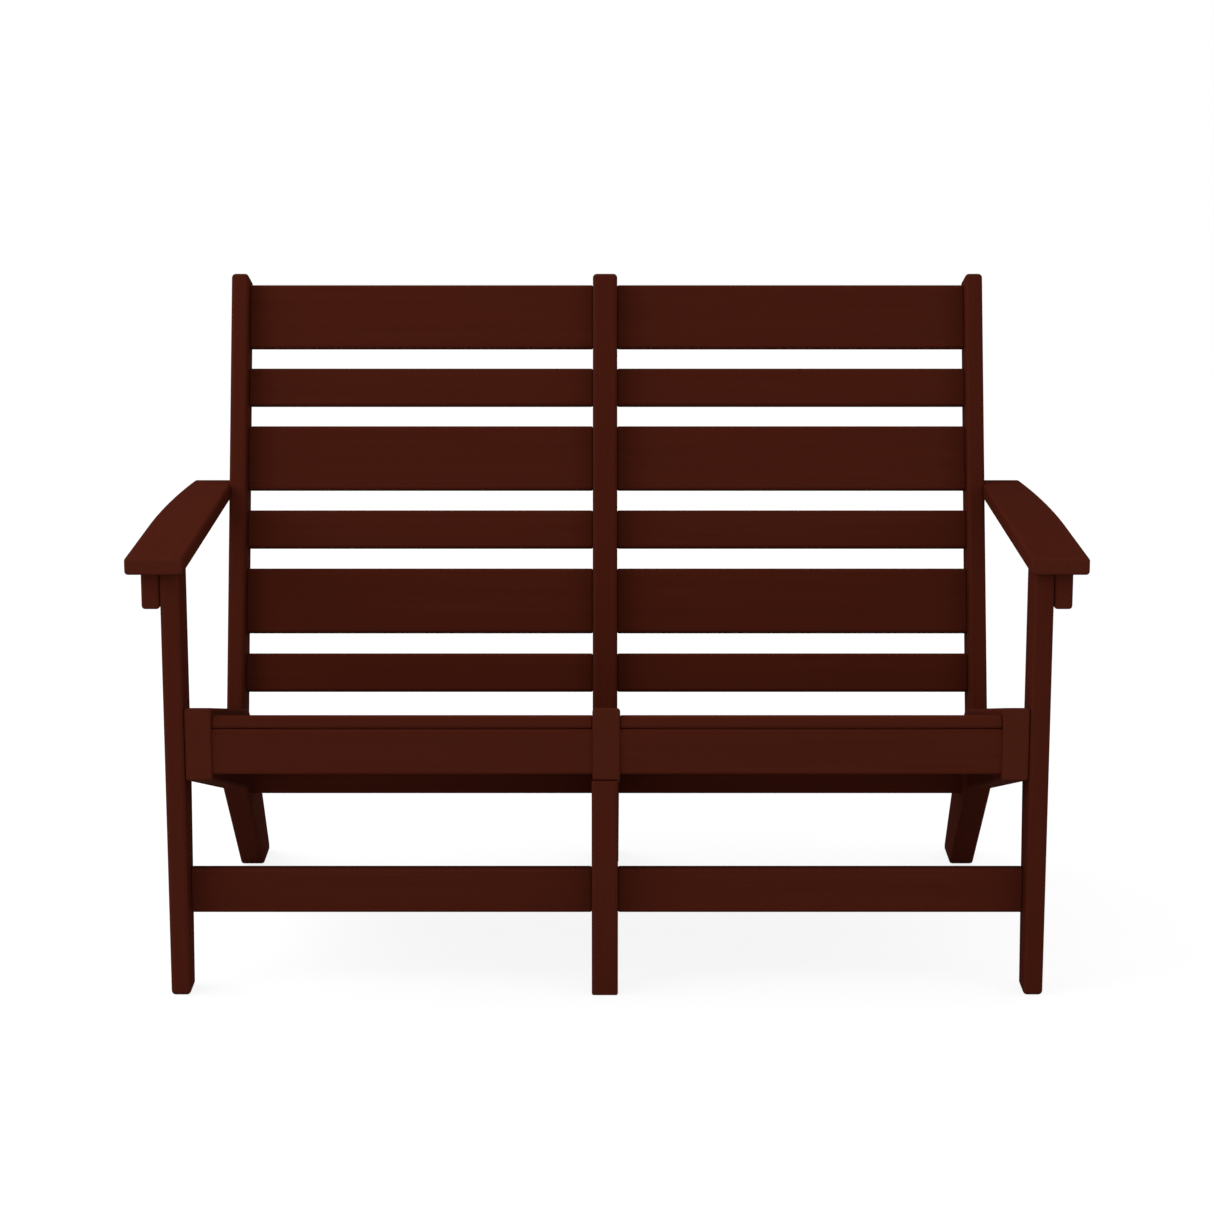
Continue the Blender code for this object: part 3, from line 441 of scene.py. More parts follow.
@dataclass(frozen=True)
class PlasticLumber:
    """Through-coloured plastic board: satin, faintly streaked along its length, its eased edges lighter
    partly from wear and partly from a painted highlight.
    """

    name: str = "mahogany_plastic_lumber"
    colour: tuple = (0.0500, 0.0092, 0.0046, 1.0)
    deep_colour: tuple = (0.0460, 0.0083, 0.0042, 1.0)
    # Lighter colour of the eased edges: partly wear, partly a painted highlight that stands in for light
    # caught by the rounded edges.
    worn_colour: tuple = (0.0660, 0.0130, 0.0062, 1.0)
    core_colour: tuple = (0.0580, 0.0120, 0.0062, 1.0)
    roughness: tuple = (0.50, 0.60)
    worn_roughness: float = 0.42
    cell_roughness: float = 0.15
    shine: float = 0.0001
    # Strength of the edges' wear and their painted highlight.
    wear: float = 0.3
    streaks: tuple = (0.3, 0.7)
    flecks: tuple = (0.25, 0.75)
    fleck_levels: tuple = (0.93, 1.07)
    tone_spread: float = 0.02
    cell_relief: float = 2.0
    line_depth: float = 0.00012
    line_strength: float = 0.6

    def material(self, groups: dict[str, Tree]) -> bpy.types.Material:
        """Build the board material.

        Args:
            groups: The shared shader groups by name.

        Returns:
            The material, which reads the boards' own attributes.
        """
        made, wiring, shader = fresh_material(self.name)
        place = wiring.attribute("grain", "Vector")
        drawn = wiring.group(groups["drawn_lines"], Place=place)
        ends = wiring.group(groups["saw_marks"], Place=place, Sawn=wiring.attribute("sawn"))
        edge = wiring.attribute("edge")
        wear = wiring.group(groups["edge_wear"], Place=place, Edge=edge, Amount=self.wear)["Wear"]

        colour = wiring.blend(wiring.spread(drawn["Streak"], self.streaks), self.deep_colour, self.colour)
        # Eased edges turn lighter: partly wear, partly a painted highlight.
        colour = wiring.blend(wear, colour, self.worn_colour)
        colour = wiring.blend(ends["Cells"], colour, self.core_colour)
        tones = (1.0 - self.tone_spread, 1.0 + self.tone_spread)
        level = wiring.math("MULTIPLY", wiring.spread(wiring.attribute("tone"), (0.0, 1.0), tones),
                            wiring.spread(drawn["Lines"], self.flecks, self.fleck_levels))
        scaled = wiring.out("ShaderNodeVectorMath", (0, colour), ("Scale", level), operation="SCALE")

        rough = wiring.spread(drawn["Lines"], self.streaks, self.roughness)
        rough = wiring.math("ADD", rough, wiring.math("MULTIPLY", ends["Cells"], self.cell_roughness))
        worn_and_sheen = wiring.math("MULTIPLY", wear, self.worn_roughness - self.roughness[0])
        cells = wiring.math("MULTIPLY", ends["Height"], self.cell_relief)
        relief = wiring.math("ADD", drawn["Lines"], cells)
        wiring.fill(shader, ("Base Color", scaled), ("Roughness", wiring.math("ADD", rough, worn_and_sheen)),
                    ("Normal", wiring.bump(relief, self.line_depth, self.line_strength)),
                    ("Specular IOR Level", self.shine))
        return made


@dataclass(frozen=True)
class StainlessSteel:
    """Turned stainless fasteners, a little dull from weather."""

    name: str = "stainless_steel"
    colour: tuple = (0.56, 0.55, 0.53, 1.0)
    dull_colour: tuple = (0.38, 0.36, 0.33, 1.0)
    roughness: tuple = (0.26, 0.42)
    stains: tuple = (0.4, 0.7)
    stain_size: float = 0.006
    marks: tuple = (0.3, 0.7)
    mark_size: float = 0.0006
    mark_depth: float = 0.00002
    mark_strength: float = 0.5

    def material(self, groups: dict[str, Tree]) -> bpy.types.Material:
        """Build the steel material.

        Args:
            groups: The shared shader groups by name.

        Returns:
            The material, which reads Object coordinates.
        """
        made, wiring, shader = fresh_material(self.name)
        drawn = wiring.group(
            groups["drawn_lines"], Place=wiring.add("ShaderNodeTexCoord").outputs["Object"],
            Streak_Length=self.stain_size, Streak_Width=self.stain_size,
            Line_Length=self.mark_size, Line_Width=self.mark_size)
        colour = wiring.blend(wiring.spread(drawn["Streak"], self.stains), self.colour, self.dull_colour)
        rough = wiring.spread(drawn["Lines"], self.marks, self.roughness)
        normal = wiring.bump(drawn["Lines"], self.mark_depth, self.mark_strength)
        wiring.fill(shader, ("Base Color", colour), ("Roughness", rough), ("Normal", normal),
                    ("Metallic", 1.0))
        return made


@dataclass
class Workshop:
    """Finishes and geometry trees that the parts draw on."""

    finishes: dict[Slot, bpy.types.Material]
    battens: Tree
    screw_heads: Tree

    @classmethod
    def opened(cls) -> "Workshop":
        """Build the shader groups, the finishes that share them, and the trees.

        Returns:
            The workshop.
        """
        shared = (drawn_lines_group(), edge_wear_group(), saw_marks_group())
        groups = {group.name: group for group in shared}
        kinds = {Slot.BOARD: PlasticLumber(), Slot.STEEL: StainlessSteel()}
        finishes = {slot: kind.material(groups) for slot, kind in kinds.items()}
        return cls(finishes, batten_tree(), screw_tree())


# Work on shapes
def span(node: str, reach: float = 0.0) -> tuple[float, float]:
    """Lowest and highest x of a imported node, with a reach beyond both."""
    low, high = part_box(node)
    return low.x - reach, high.x + reach


def face_x(node: str, side: Side) -> float:
    """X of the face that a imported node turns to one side."""
    low, high = span(node)
    return high if side is Side.RIGHT else low


def at_x(x: float, place: Vector) -> Vector:
    """Point of the side view at an x value."""
    return Vector((x, place.y, place.z))


def quarter_points(low: float, high: float) -> tuple[float, float]:
    """Values at a quarter and at three quarters between two others."""
    rise = (high - low) * 0.25
    return low + rise, high - rise


def prism(outline: Sequence[Vector], along: Vector) -> Shape:
    """Closed prism between an outline and its copy.

    Args:
        outline: The corners of one end.
        along: The way from that end to the other.

    Returns:
        The shape, whose first half of vertices is the given outline.
    """
    shape = bmesh.new()
    near = [shape.verts.new(point) for point in outline]
    far = [shape.verts.new(point + along) for point in outline]
    shape.faces.new(near)
    shape.faces.new(reversed(far))
    for index, corner in enumerate(near):
        after = (index + 1) % len(near)
        shape.faces.new((corner, far[index], far[after], near[after]))
    bmesh.ops.recalc_face_normals(shape, faces=shape.faces)
    shape.verts.ensure_lookup_table()
    return shape


def side_prism(outline: Iterable[Vector], start: float, width: float) -> Shape:
    """Closed prism on an outline of the side view, from an x value over a width."""
    return prism([at_x(start, corner) for corner in outline], Vector((width, 0.0, 0.0)))


def as_object(name: str, shape: Shape) -> Piece:
    """Put a shape into the scene.

    Args:
        name: The object's name.
        shape: The shape, which is freed.

    Returns:
        The new object.
    """
    mesh = bpy.data.meshes.new(name)
    shape.to_mesh(mesh)
    shape.free()
    made = bpy.data.objects.new(name, mesh)
    bpy.context.scene.collection.objects.link(made)
    return made


def settle(piece: Piece) -> None:
    """Turn a piece with its modifiers into a plain mesh.

    Args:
        piece: The object, whose modifiers are removed.
    """
    bpy.context.view_layer.update()
    before = piece.data
    settled = bpy.data.meshes.new_from_object(piece.evaluated_get(bpy.context.evaluated_depsgraph_get()))
    piece.modifiers.clear()
    piece.data = settled
    bpy.data.meshes.remove(before)
    settled.name = piece.name


def add_modifier(piece: Piece, name: str, kind: str, **settings: object) -> None:
    """Put a modifier on a piece.

    Args:
        piece: The object.
        name: The modifier's name.
        kind: The modifier's type.
        settings: Properties of the modifier.
    """
    modifier = piece.modifiers.new(name, kind)
    for setting, value in settings.items():
        setattr(modifier, setting, value)


def carve(piece: Piece, shapes: Iterable[Shape]) -> None:
    """Settle a piece with closed shapes cut out of it, each by its own Boolean.

    Args:
        piece: The object.
        shapes: The shapes, which are freed.
    """
    tools = [as_object(piece.name + "_cutter", shape) for shape in shapes]
    for tool in tools:
        add_modifier(piece, "cut", "BOOLEAN", operation="DIFFERENCE", solver="EXACT", object=tool)
    settle(piece)
    for tool in tools:
        bpy.data.meshes.remove(tool.data)


def smooth_faces(piece: Piece) -> None:
    """Shade eased edges round and keep the large faces flat.

    Args:
        piece: The object, which is settled.
    """
    piece.data.shade_smooth()
    piece.data.set_sharp_from_angle(angle=SHARP_ANGLE)
    add_modifier(piece, "flat_faces", "WEIGHTED_NORMAL", keep_sharp=True, weight=FLAT_FACE_WEIGHT)
    settle(piece)


def vectors_of(items: bpy.types.bpy_prop_collection, name: str) -> np.ndarray:
    """Read one vector from each vertex or corner of a mesh.

    Args:
        items: The vertices or corners.
        name: The property that holds the vector.

    Returns:
        The vectors, one to a row.
    """
    values = np.empty(len(items) * 3, np.float32)
    items.foreach_get(name, values)
    return values.reshape(-1, 3)


def store(piece: Piece, name: str, domain: str, values: np.ndarray) -> None:
    """Store an attribute on a piece's mesh.

    Args:
        piece: The object.
        name: The attribute's name.
        domain: POINT or CORNER.
        values: Numbers, or rows of three.
    """
    kind, key = ("FLOAT_VECTOR", "vector") if values.ndim == 2 else ("FLOAT", "value")
    layer = piece.data.attributes.new(name, kind, domain)
    layer.data.foreach_set(key, values.astype(np.float32).ravel())


class Part:
    """One piece of the scene, which each kind of part shapes in its own way."""

    node: str
    slot = Slot.STEEL

    def shaped(self, shop: Workshop) -> Piece:
        """Object with the part's shape, in its place."""
        raise NotImplementedError

    def paint(self, piece: Piece) -> None:
        """Store what the part's finish reads from the mesh, which is nothing for steel."""

    def make(self, shop: Workshop) -> None:
        """Build the part in the scene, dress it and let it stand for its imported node.

        Args:
            shop: Finishes and trees.
        """
        piece = self.shaped(shop)
        smooth_faces(piece)
        self.paint(piece)
        piece.data.materials.clear()
        piece.data.materials.append(shop.finishes[self.slot])
        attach(piece, BODY)
        if self.node:
            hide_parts(self.node)
        LOG.info("%s: %d faces", piece.name, len(piece.data.polygons))


class PlasticPart(Part):
    """Part of extruded board, whose fine lines run along it."""

    run: Run
    slot = Slot.BOARD

    def flat_faces(self) -> list[Vector]:
        """Normals of the flat faces, from which the eased edges turn away."""
        raise NotImplementedError

    def paint(self, piece: Piece) -> None:
        """Store the grain's places, the tone, the eased edges and the sawn ends.

        Args:
            piece: The object with its final mesh.
        """
        chance = random.Random(piece.name)
        shift = np.array([chance.uniform(-GRAIN_SHIFT, GRAIN_SHIFT) for _ in range(3)])
        places = vectors_of(piece.data.vertices, "co")
        store(piece, "grain", "POINT", places @ self.run.axes().T + shift)
        store(piece, "tone", "POINT", np.full(len(places), chance.random()))

        # The edge share drives the edges' wear and their painted highlight.
        normals = vectors_of(piece.data.corner_normals, "vector")
        nearest = (normals @ np.array(self.flat_faces(), np.float32).T).max(axis=1)
        middle_of_edge = 1.0 - math.cos(math.pi / 4.0)
        store(piece, "edge", "CORNER", np.clip((1.0 - nearest) / middle_of_edge, 0.0, 1.0))
        lengthwise = np.abs(normals @ np.array(self.run.value, np.float32))
        store(piece, "sawn", "CORNER", lengthwise > SAWN_LIMIT)


# Screws and bolts
@dataclass(frozen=True)
class Bore:
    """Round counterbore for a screw's or bolt's head."""

    start: Vector
    into: Vector
    radius: float
    depth: float
    sides: int = 28

    def shape(self) -> Shape:
        """Build what cuts the counterbore.

        Returns:
            A closed cylinder.
        """
        made = bmesh.new()
        length = self.depth + CUT_OVERRUN
        turn = self.into.to_track_quat("Z", "Y").to_matrix().to_4x4()
        middle = self.start + self.into * (self.depth - length / 2.0)
        bmesh.ops.create_cone(made, cap_ends=True, segments=self.sides, radius1=self.radius,
                              radius2=self.radius, depth=length, matrix=Matrix.Translation(middle) @ turn)
        return made


def head_bore(fastener: "Screw | Bolt", start: Vector, into: Vector) -> Bore:
    """Counterbore for a fastener's head, from a point on the board's face."""
    depth = fastener.sink + fastener.head_height + FIT_GAP
    return Bore(start, into, fastener.head_radius + FIT_GAP, depth)


@dataclass(frozen=True)
class Screw:
    """Wood screw: where it's driven, into which direction, and how deep its head lies."""

    start: Vector
    into: Vector
    sink: float = 0.0008
    head_radius: float = 0.0045
    head_height: float = 0.0030

    @property
    def seat(self) -> Vector:
        """Point on which the head's underside rests."""
        return self.start + self.into * (self.sink + self.head_height)

    @property
    def bore(self) -> Bore:
        """Counterbore for the head."""
        return head_bore(self, self.start, self.into)


@dataclass(frozen=True)
class Bolt(Part):
    """Domed bolt with a hexagonal socket that stands for a packed bolt."""

    node: str
    side: Side
    head_radius: float = 0.0080
    head_height: float = 0.0050
    dome_share: float = 0.7
    dome_steps: int = 8
    shank_radius: float = 0.0040
    sink: float = 0.0010
    socket_radius: float = 0.0030
    socket_depth: float = 0.0030
    socket_sides: int = 6
    thread_pitch: float = 0.00125
    thread_depth: float = 0.0004
    thread_length: float = 0.0160
    sides: int = 32

    def ends(self) -> tuple[Vector, Vector]:
        """Read the bolt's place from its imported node's box.

        Returns:
            The middle of the head's top, and of the tip.
        """
        low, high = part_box(self.node)
        middle = (low + high) / 2.0
        top, tip = (face_x(self.node, side) for side in (self.side, self.side.other))
        return at_x(top, middle), at_x(tip, middle)

    @property
    def bore(self) -> Bore:
        """Counterbore for the head."""
        outward = self.side.outward
        return head_bore(self, self.ends()[0] + outward * self.sink, -outward)

    def profile(self, length: float) -> list[tuple[float, float]]:
        """Lay out the bolt's rings.

        Args:
            length: The bolt's whole length.

        Returns:
            Each ring's radius and its distance from the head's top.
        """
        rings = []
        for step in range(1, self.dome_steps + 1):
            angle = math.pi / 2.0 * step / self.dome_steps
            drop = self.head_height * self.dome_share * (1.0 - math.cos(angle))
            rings.append((self.head_radius * math.sin(angle), drop))
        rings += [(self.head_radius, self.head_height), (self.shank_radius, self.head_height)]
        core = self.shank_radius - self.thread_depth
        for turn in range(int(self.thread_length / self.thread_pitch)):
            foot = length - self.thread_length + turn * self.thread_pitch
            rings += [(self.shank_radius, foot), (core, foot + self.thread_pitch / 2.0)]
        return [*rings, (core, length)]

    def shaped(self, shop: Workshop) -> Piece:
        """Turn the bolt, its head towards its side.

        Args:
            shop: Finishes and trees; not used here.

        Returns:
            The object.
        """
        top, tip = self.ends()
        into = (tip - top).normalized()
        turn = into.to_track_quat("Z", "Y").to_matrix()
        angles = [math.tau * index / self.sides for index in range(self.sides)]
        shape = bmesh.new()
        rings = []
        for radius, distance in self.profile((tip - top).length):
            corners = (Vector((radius * math.cos(angle), radius * math.sin(angle), distance))
                       for angle in angles)
            rings.append([shape.verts.new(top + turn @ corner) for corner in corners])
        for ring, following in zip(rings, rings[1:]):
            for index, corner in enumerate(ring):
                after = (index + 1) % self.sides
                shape.faces.new((corner, ring[after], following[after], following[index]))
        shape.faces.new(rings[0])
        shape.faces.new(reversed(rings[-1]))
        bmesh.ops.recalc_face_normals(shape, faces=shape.faces)
        piece = as_object(self.node + "_turned", shape)
        socket = Bore(top, into, self.socket_radius, self.socket_depth, self.socket_sides)
        carve(piece, [socket.shape()])
        return piece


def screw_tree() -> Tree:
    """Build the tree that sets a domed, star-socket screw head on each point.

    Returns:
        The geometry tree.
    """
    wiring = GeometryGroup(
        "screw_heads",
        ("Places", "Geometry", None),
        ("Head Radius", "Float", 0.0043),
        ("Head Height", "Float", 0.0029),
        ("Head Sides", "Int", 28),
        ("Socket Radius", "Float", 0.0021),
        ("Socket Share", "Float", 0.72),
        ("Socket Depth", "Float", 0.0016),
        ("Socket Points", "Int", 6),
        ("Sliver Size", "Float", 0.00002),
        ("Seed", "Int", 7),
    )
    given = wiring.given
    radius, height = given["Head Radius"], given["Head Height"]
    cutting = {"operation": "DIFFERENCE", "solver": "EXACT"}

    ball = wiring.out("GeometryNodeMeshUVSphere", ("Segments", given["Head Sides"]), ("Rings", HEAD_RINGS),
                      ("Radius", 1.0))
    size = wiring.out("ShaderNodeCombineXYZ", (0, radius), (1, radius), (2, height))
    dome = wiring.out("GeometryNodeTransform", ("Geometry", ball), ("Scale", size))
    cube = wiring.out("GeometryNodeMeshCube", ("Size", (HEAD_CUTTER,) * 3))
    below = wiring.out("GeometryNodeTransform", ("Geometry", cube),
                       ("Translation", (0.0, 0.0, -HEAD_CUTTER / 2.0)))
    cap = wiring.out("GeometryNodeMeshBoolean", ("Mesh 1", dome), ("Mesh 2", below), **cutting)

    inner = wiring.math("MULTIPLY", given["Socket Radius"], given["Socket Share"])
    star = wiring.out("GeometryNodeCurveStar", ("Points", given["Socket Points"]), ("Inner Radius", inner),
                      ("Outer Radius", given["Socket Radius"]))
    floor = wiring.math("SUBTRACT", height, given["Socket Depth"])
    low, high = (wiring.out("ShaderNodeCombineXYZ", (2, level))
                 for level in (floor, wiring.math("MULTIPLY", height, 2.0)))
    line = wiring.out("GeometryNodeCurvePrimitiveLine", ("Start", low), ("End", high))
    key = wiring.out("GeometryNodeCurveToMesh", ("Curve", line), ("Profile Curve", star),
                     ("Fill Caps", True))
    head = wiring.out("GeometryNodeMeshBoolean", ("Mesh 1", cap), ("Mesh 2", key), **cutting)
    clean = wiring.out("GeometryNodeMergeByDistance", ("Geometry", head),
                       ("Distance", given["Sliver Size"]))

    outward = wiring.out("GeometryNodeInputNamedAttribute", ("Name", "outward"), data_type="FLOAT_VECTOR")
    facing = wiring.out("FunctionNodeAlignRotationToVector", ("Vector", outward), axis="Z")
    chance = wiring.add("FunctionNodeRandomValue", (2, 0.0), (3, math.tau), ("Seed", given["Seed"]),
                        data_type="FLOAT").outputs[1]
    twist = wiring.out("ShaderNodeCombineXYZ", (2, chance))
    turned = wiring.out("FunctionNodeRotateRotation", ("Rotation", facing), ("Rotate By", twist),
                        rotation_space="LOCAL")
    return wiring.close(wiring.out("GeometryNodeInstanceOnPoints", ("Points", given["Places"]),
                                   ("Instance", clean), ("Rotation", turned)))


def grow(piece: Piece, tree: Tree, **values: object) -> None:
    """Run a geometry tree on a piece and keep the result as a plain mesh.

    Args:
        piece: The object that carries the tree.
        tree: The geometry tree.
        values: Inputs by name, with underscores for spaces.
    """
    modifier = piece.modifiers.new(tree.name, "NODES")
    modifier.node_group = tree
    for item in tree.interface.items_tree:
        value = values.get(item.name.replace(" ", "_"))
        if item.item_type == "SOCKET" and item.in_out == "INPUT" and value is not None:
            modifier[item.identifier] = value
    settle(piece)


@dataclass
class ScrewSet(Part):
    """Screws of one kind of joint, set by the screw tree as one piece."""

    name: str
    screws: list[Screw]
    node: str = ""

    def shaped(self, shop: Workshop) -> Piece:
        """Set all the screw heads.

        Args:
            shop: Finishes and trees.

        Returns:
            The object.
        """
        shape = bmesh.new()
        for screw in self.screws:
            shape.verts.new(screw.seat)
        piece = as_object(self.name, shape)
        store(piece, "outward", "POINT", np.array([-screw.into for screw in self.screws]))
        first = self.screws[0]
        grow(piece, shop.screw_heads, Head_Radius=first.head_radius - FIT_GAP,
             Head_Height=first.head_height, Material=shop.finishes[self.slot])
        return piece


# Boards
@dataclass
class Board(PlasticPart):
    """Board that is sawn from its outline, eased and cut.

    Sides of the outline that sawn names, by their first corner, have a radius of their own.
    """

    node: str
    outline: list[Vector]
    along: Vector
    run: Run
    cut: Cut = Cut.FROM_PLANK
    eased: float = 0.0050
    sawn: dict[int, float] = field(default_factory=dict)
    pockets: Sequence[Shape] = ()
    fasteners: Sequence[Screw | Bolt] = ()

    @classmethod
    def across(cls, node: str, outline: Iterable[Vector], run: Run, reach: float = 0.0,
               **options: object) -> "Board":
        """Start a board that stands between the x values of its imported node.

        Args:
            node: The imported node.
            outline: The board's outline in the side view.
            run: The direction in which it was extruded.
            reach: How far it goes beyond the node at both sides.
            options: Other fields of the board.

        Returns:
            The board.
        """
        low, high = span(node, reach)
        placed = [at_x(low, corner) for corner in outline]
        return cls(node, placed, Vector((high - low, 0.0, 0.0)), run, **options)

    @property
    def widest(self) -> float:
        """Largest radius on the board."""
        return max((self.eased, *self.sawn.values()))

    def weigh_edges(self, shape: Shape) -> None:
        """Weigh each edge by the share of the largest radius that it's eased with.

        Args:
            shape: The sharp board.
        """
        weights = shape.edges.layers.float.new("bevel_weight_edge")
        count = len(self.outline)
        for edge in shape.edges:
            first, second = sorted(corner.index % count for corner in edge.verts)
            lengthwise = first == second
            if edge.calc_face_angle(0.0) < SHARP_ANGLE or (self.cut is Cut.TO_LENGTH and not lengthwise):
                continue
            if lengthwise:
                sides = (first, (first - 1) % count)
            else:
                sides = (second if second - first > 1 else first,)
            radius = next((self.sawn[side] for side in sides if side in self.sawn), self.eased)
            edge[weights] = radius / self.widest

    def flat_faces(self) -> list[Vector]:
        """Find the board's flat faces.

        Returns:
            Their normals.
        """
        normal = self.along.normalized()
        found = [normal, -normal]
        for index, corner in enumerate(self.outline):
            after = self.outline[(index + 1) % len(self.outline)]
            side = (after - corner).cross(self.along).normalized()
            found += [side, -side]
        return found

    def shaped(self, shop: Workshop) -> Piece:
        """Saw, ease and cut the board.

        Args:
            shop: Finishes and trees; not used here.

        Returns:
            The object.
        """
        shape = prism(self.outline, self.along)
        self.weigh_edges(shape)
        piece = as_object(self.node + "_board", shape)
        add_modifier(piece, "eased_edges", "BEVEL", limit_method="WEIGHT", width=self.widest,
                     segments=EASING_STEPS)
        carve(piece, [*self.pockets, *(fastener.bore.shape() for fastener in self.fasteners)])
        return piece


def batten_tree() -> Tree:
    """Build the tree that sweeps a board's eased section along its length.

    Returns:
        The geometry tree.
    """
    wiring = GeometryGroup(
        "batten",
        ("Length", "Float", 0.5),
        ("Width", "Float", 0.09),
        ("Thickness", "Float", 0.02),
        ("Edge Radius", "Float", 0.005),
        ("Edge Steps", "Int", EASING_STEPS),
    )
    given = wiring.given
    ends = (wiring.math("MULTIPLY", given["Length"], share) for share in (-0.5, 0.5))
    start, end = (wiring.out("ShaderNodeCombineXYZ", (0, x)) for x in ends)
    line = wiring.out("GeometryNodeCurvePrimitiveLine", ("Start", start), ("End", end))
    section = wiring.out("GeometryNodeCurvePrimitiveQuadrilateral", ("Width", given["Thickness"]),
                         ("Height", given["Width"]))
    eased = wiring.out("GeometryNodeFilletCurve", ("Curve", section), ("Radius", given["Edge Radius"]),
                       ("Count", given["Edge Steps"]), mode="POLY")
    return wiring.close(wiring.out("GeometryNodeCurveToMesh", ("Curve", line), ("Profile Curve", eased),
                                   ("Fill Caps", True)))


@dataclass
class Batten(PlasticPart):
    """Straight board along X, swept by the batten tree, whose ends meet its neighbours."""

    node: str
    centre: Vector
    thickness: float
    width: float
    turn: float = 0.0
    eased: float = 0.0050
    ends_eased: float = 0.0030
    end_steps: int = 3
    run = Run.SIDEWAYS

    @property
    def turned(self) -> Matrix:
        """Turn of the board about its length."""
        return Euler((self.turn, 0.0, 0.0)).to_matrix()

    def flat_faces(self) -> list[Vector]:
        """Normals of the six flat faces."""
        axes = Matrix.Identity(3)
        return [self.turned @ Vector(axis) * sign for axis in axes for sign in (-1.0, 1.0)]

    def shaped(self, shop: Workshop) -> Piece:
        """Sweep the batten and ease its ends.

        Args:
            shop: Finishes and trees.

        Returns:
            The object.
        """
        low, high = span(self.node, END_REACH)
        piece = as_object(self.node + "_board", bmesh.new())
        grow(piece, shop.battens, Length=high - low, Width=self.width, Thickness=self.thickness,
             Edge_Radius=self.eased, Material=shop.finishes[self.slot])
        add_modifier(piece, "eased_ends", "BEVEL", limit_method="ANGLE", angle_limit=SHARP_ANGLE,
                     width=self.ends_eased, segments=self.end_steps, use_clamp_overlap=False)
        settle(piece)
        middle = Matrix.Translation(at_x((low + high) / 2.0, self.centre))
        piece.data.transform(middle @ self.turned.to_4x4())
        return piece


# Sub-assemblies
@dataclass
class Assembly:
    """Parts that belong together, placed by the lines of the side view."""

    view: SideView

    def parts(self) -> Iterator[Part]:
        """Parts in the order in which they're made."""
        raise NotImplementedError

    def build(self, shop: Workshop) -> None:
        """Make the parts from the shop's finishes and trees."""
        for part in self.parts():
            part.make(shop)


@dataclass
class Back(Assembly):
    """Six rows of slats in each bay, screwed in from the uprights' outer faces."""

    upright_length: float = 0.6589
    wide: float = 0.0992
    narrow: float = 0.0585
    thickness: float = 0.0185
    setback: float = 0.0270
    top_margin: float = 0.0126
    bottom_margin: float = 0.0162
    row_pairs: int = 3

    @property
    def behind(self) -> float:
        """Distance of the slats' middle behind the uprights' front edge."""
        return self.setback + self.thickness / 2.0

    def rows(self) -> Iterator[tuple[int, float, float]]:
        """Space the rows evenly from the top.

        Yields:
            Number, middle along the back and width of each row.
        """
        widths = [self.wide, self.narrow] * self.row_pairs
        top = self.upright_length - self.top_margin
        gap = (top - self.bottom_margin - sum(widths)) / (len(widths) - 1)
        for number, width in enumerate(widths, start=1):
            yield number, top - width / 2.0, width
            top -= width + gap

    def screws(self, side: Side) -> list[Screw]:
        """Place the screws through an outer upright into its bay's slats.

        Args:
            side: The bay.

        Returns:
            The screws, two to a wide slat and one to a narrow one.
        """
        face = face_x("back_upright_" + side.word, side)
        found = []
        for _, middle, width in self.rows():
            offsets = quarter_points(-width / 2.0, width / 2.0) if width > self.narrow else (0.0,)
            places = (self.view.back(middle + offset, self.behind) for offset in offsets)
            found += [Screw(at_x(face, place), side.inward) for place in places]
        return found

    def parts(self) -> Iterator[Part]:
        """Lay out the slats of both bays.

        Yields:
            Each slat.
        """
        for side in Side:
            for number, middle, width in self.rows():
                yield Batten(f"back_slat_{side.word}_{number}", self.view.back(middle, self.behind),
                             self.thickness, width, -BACK_RECLINE)


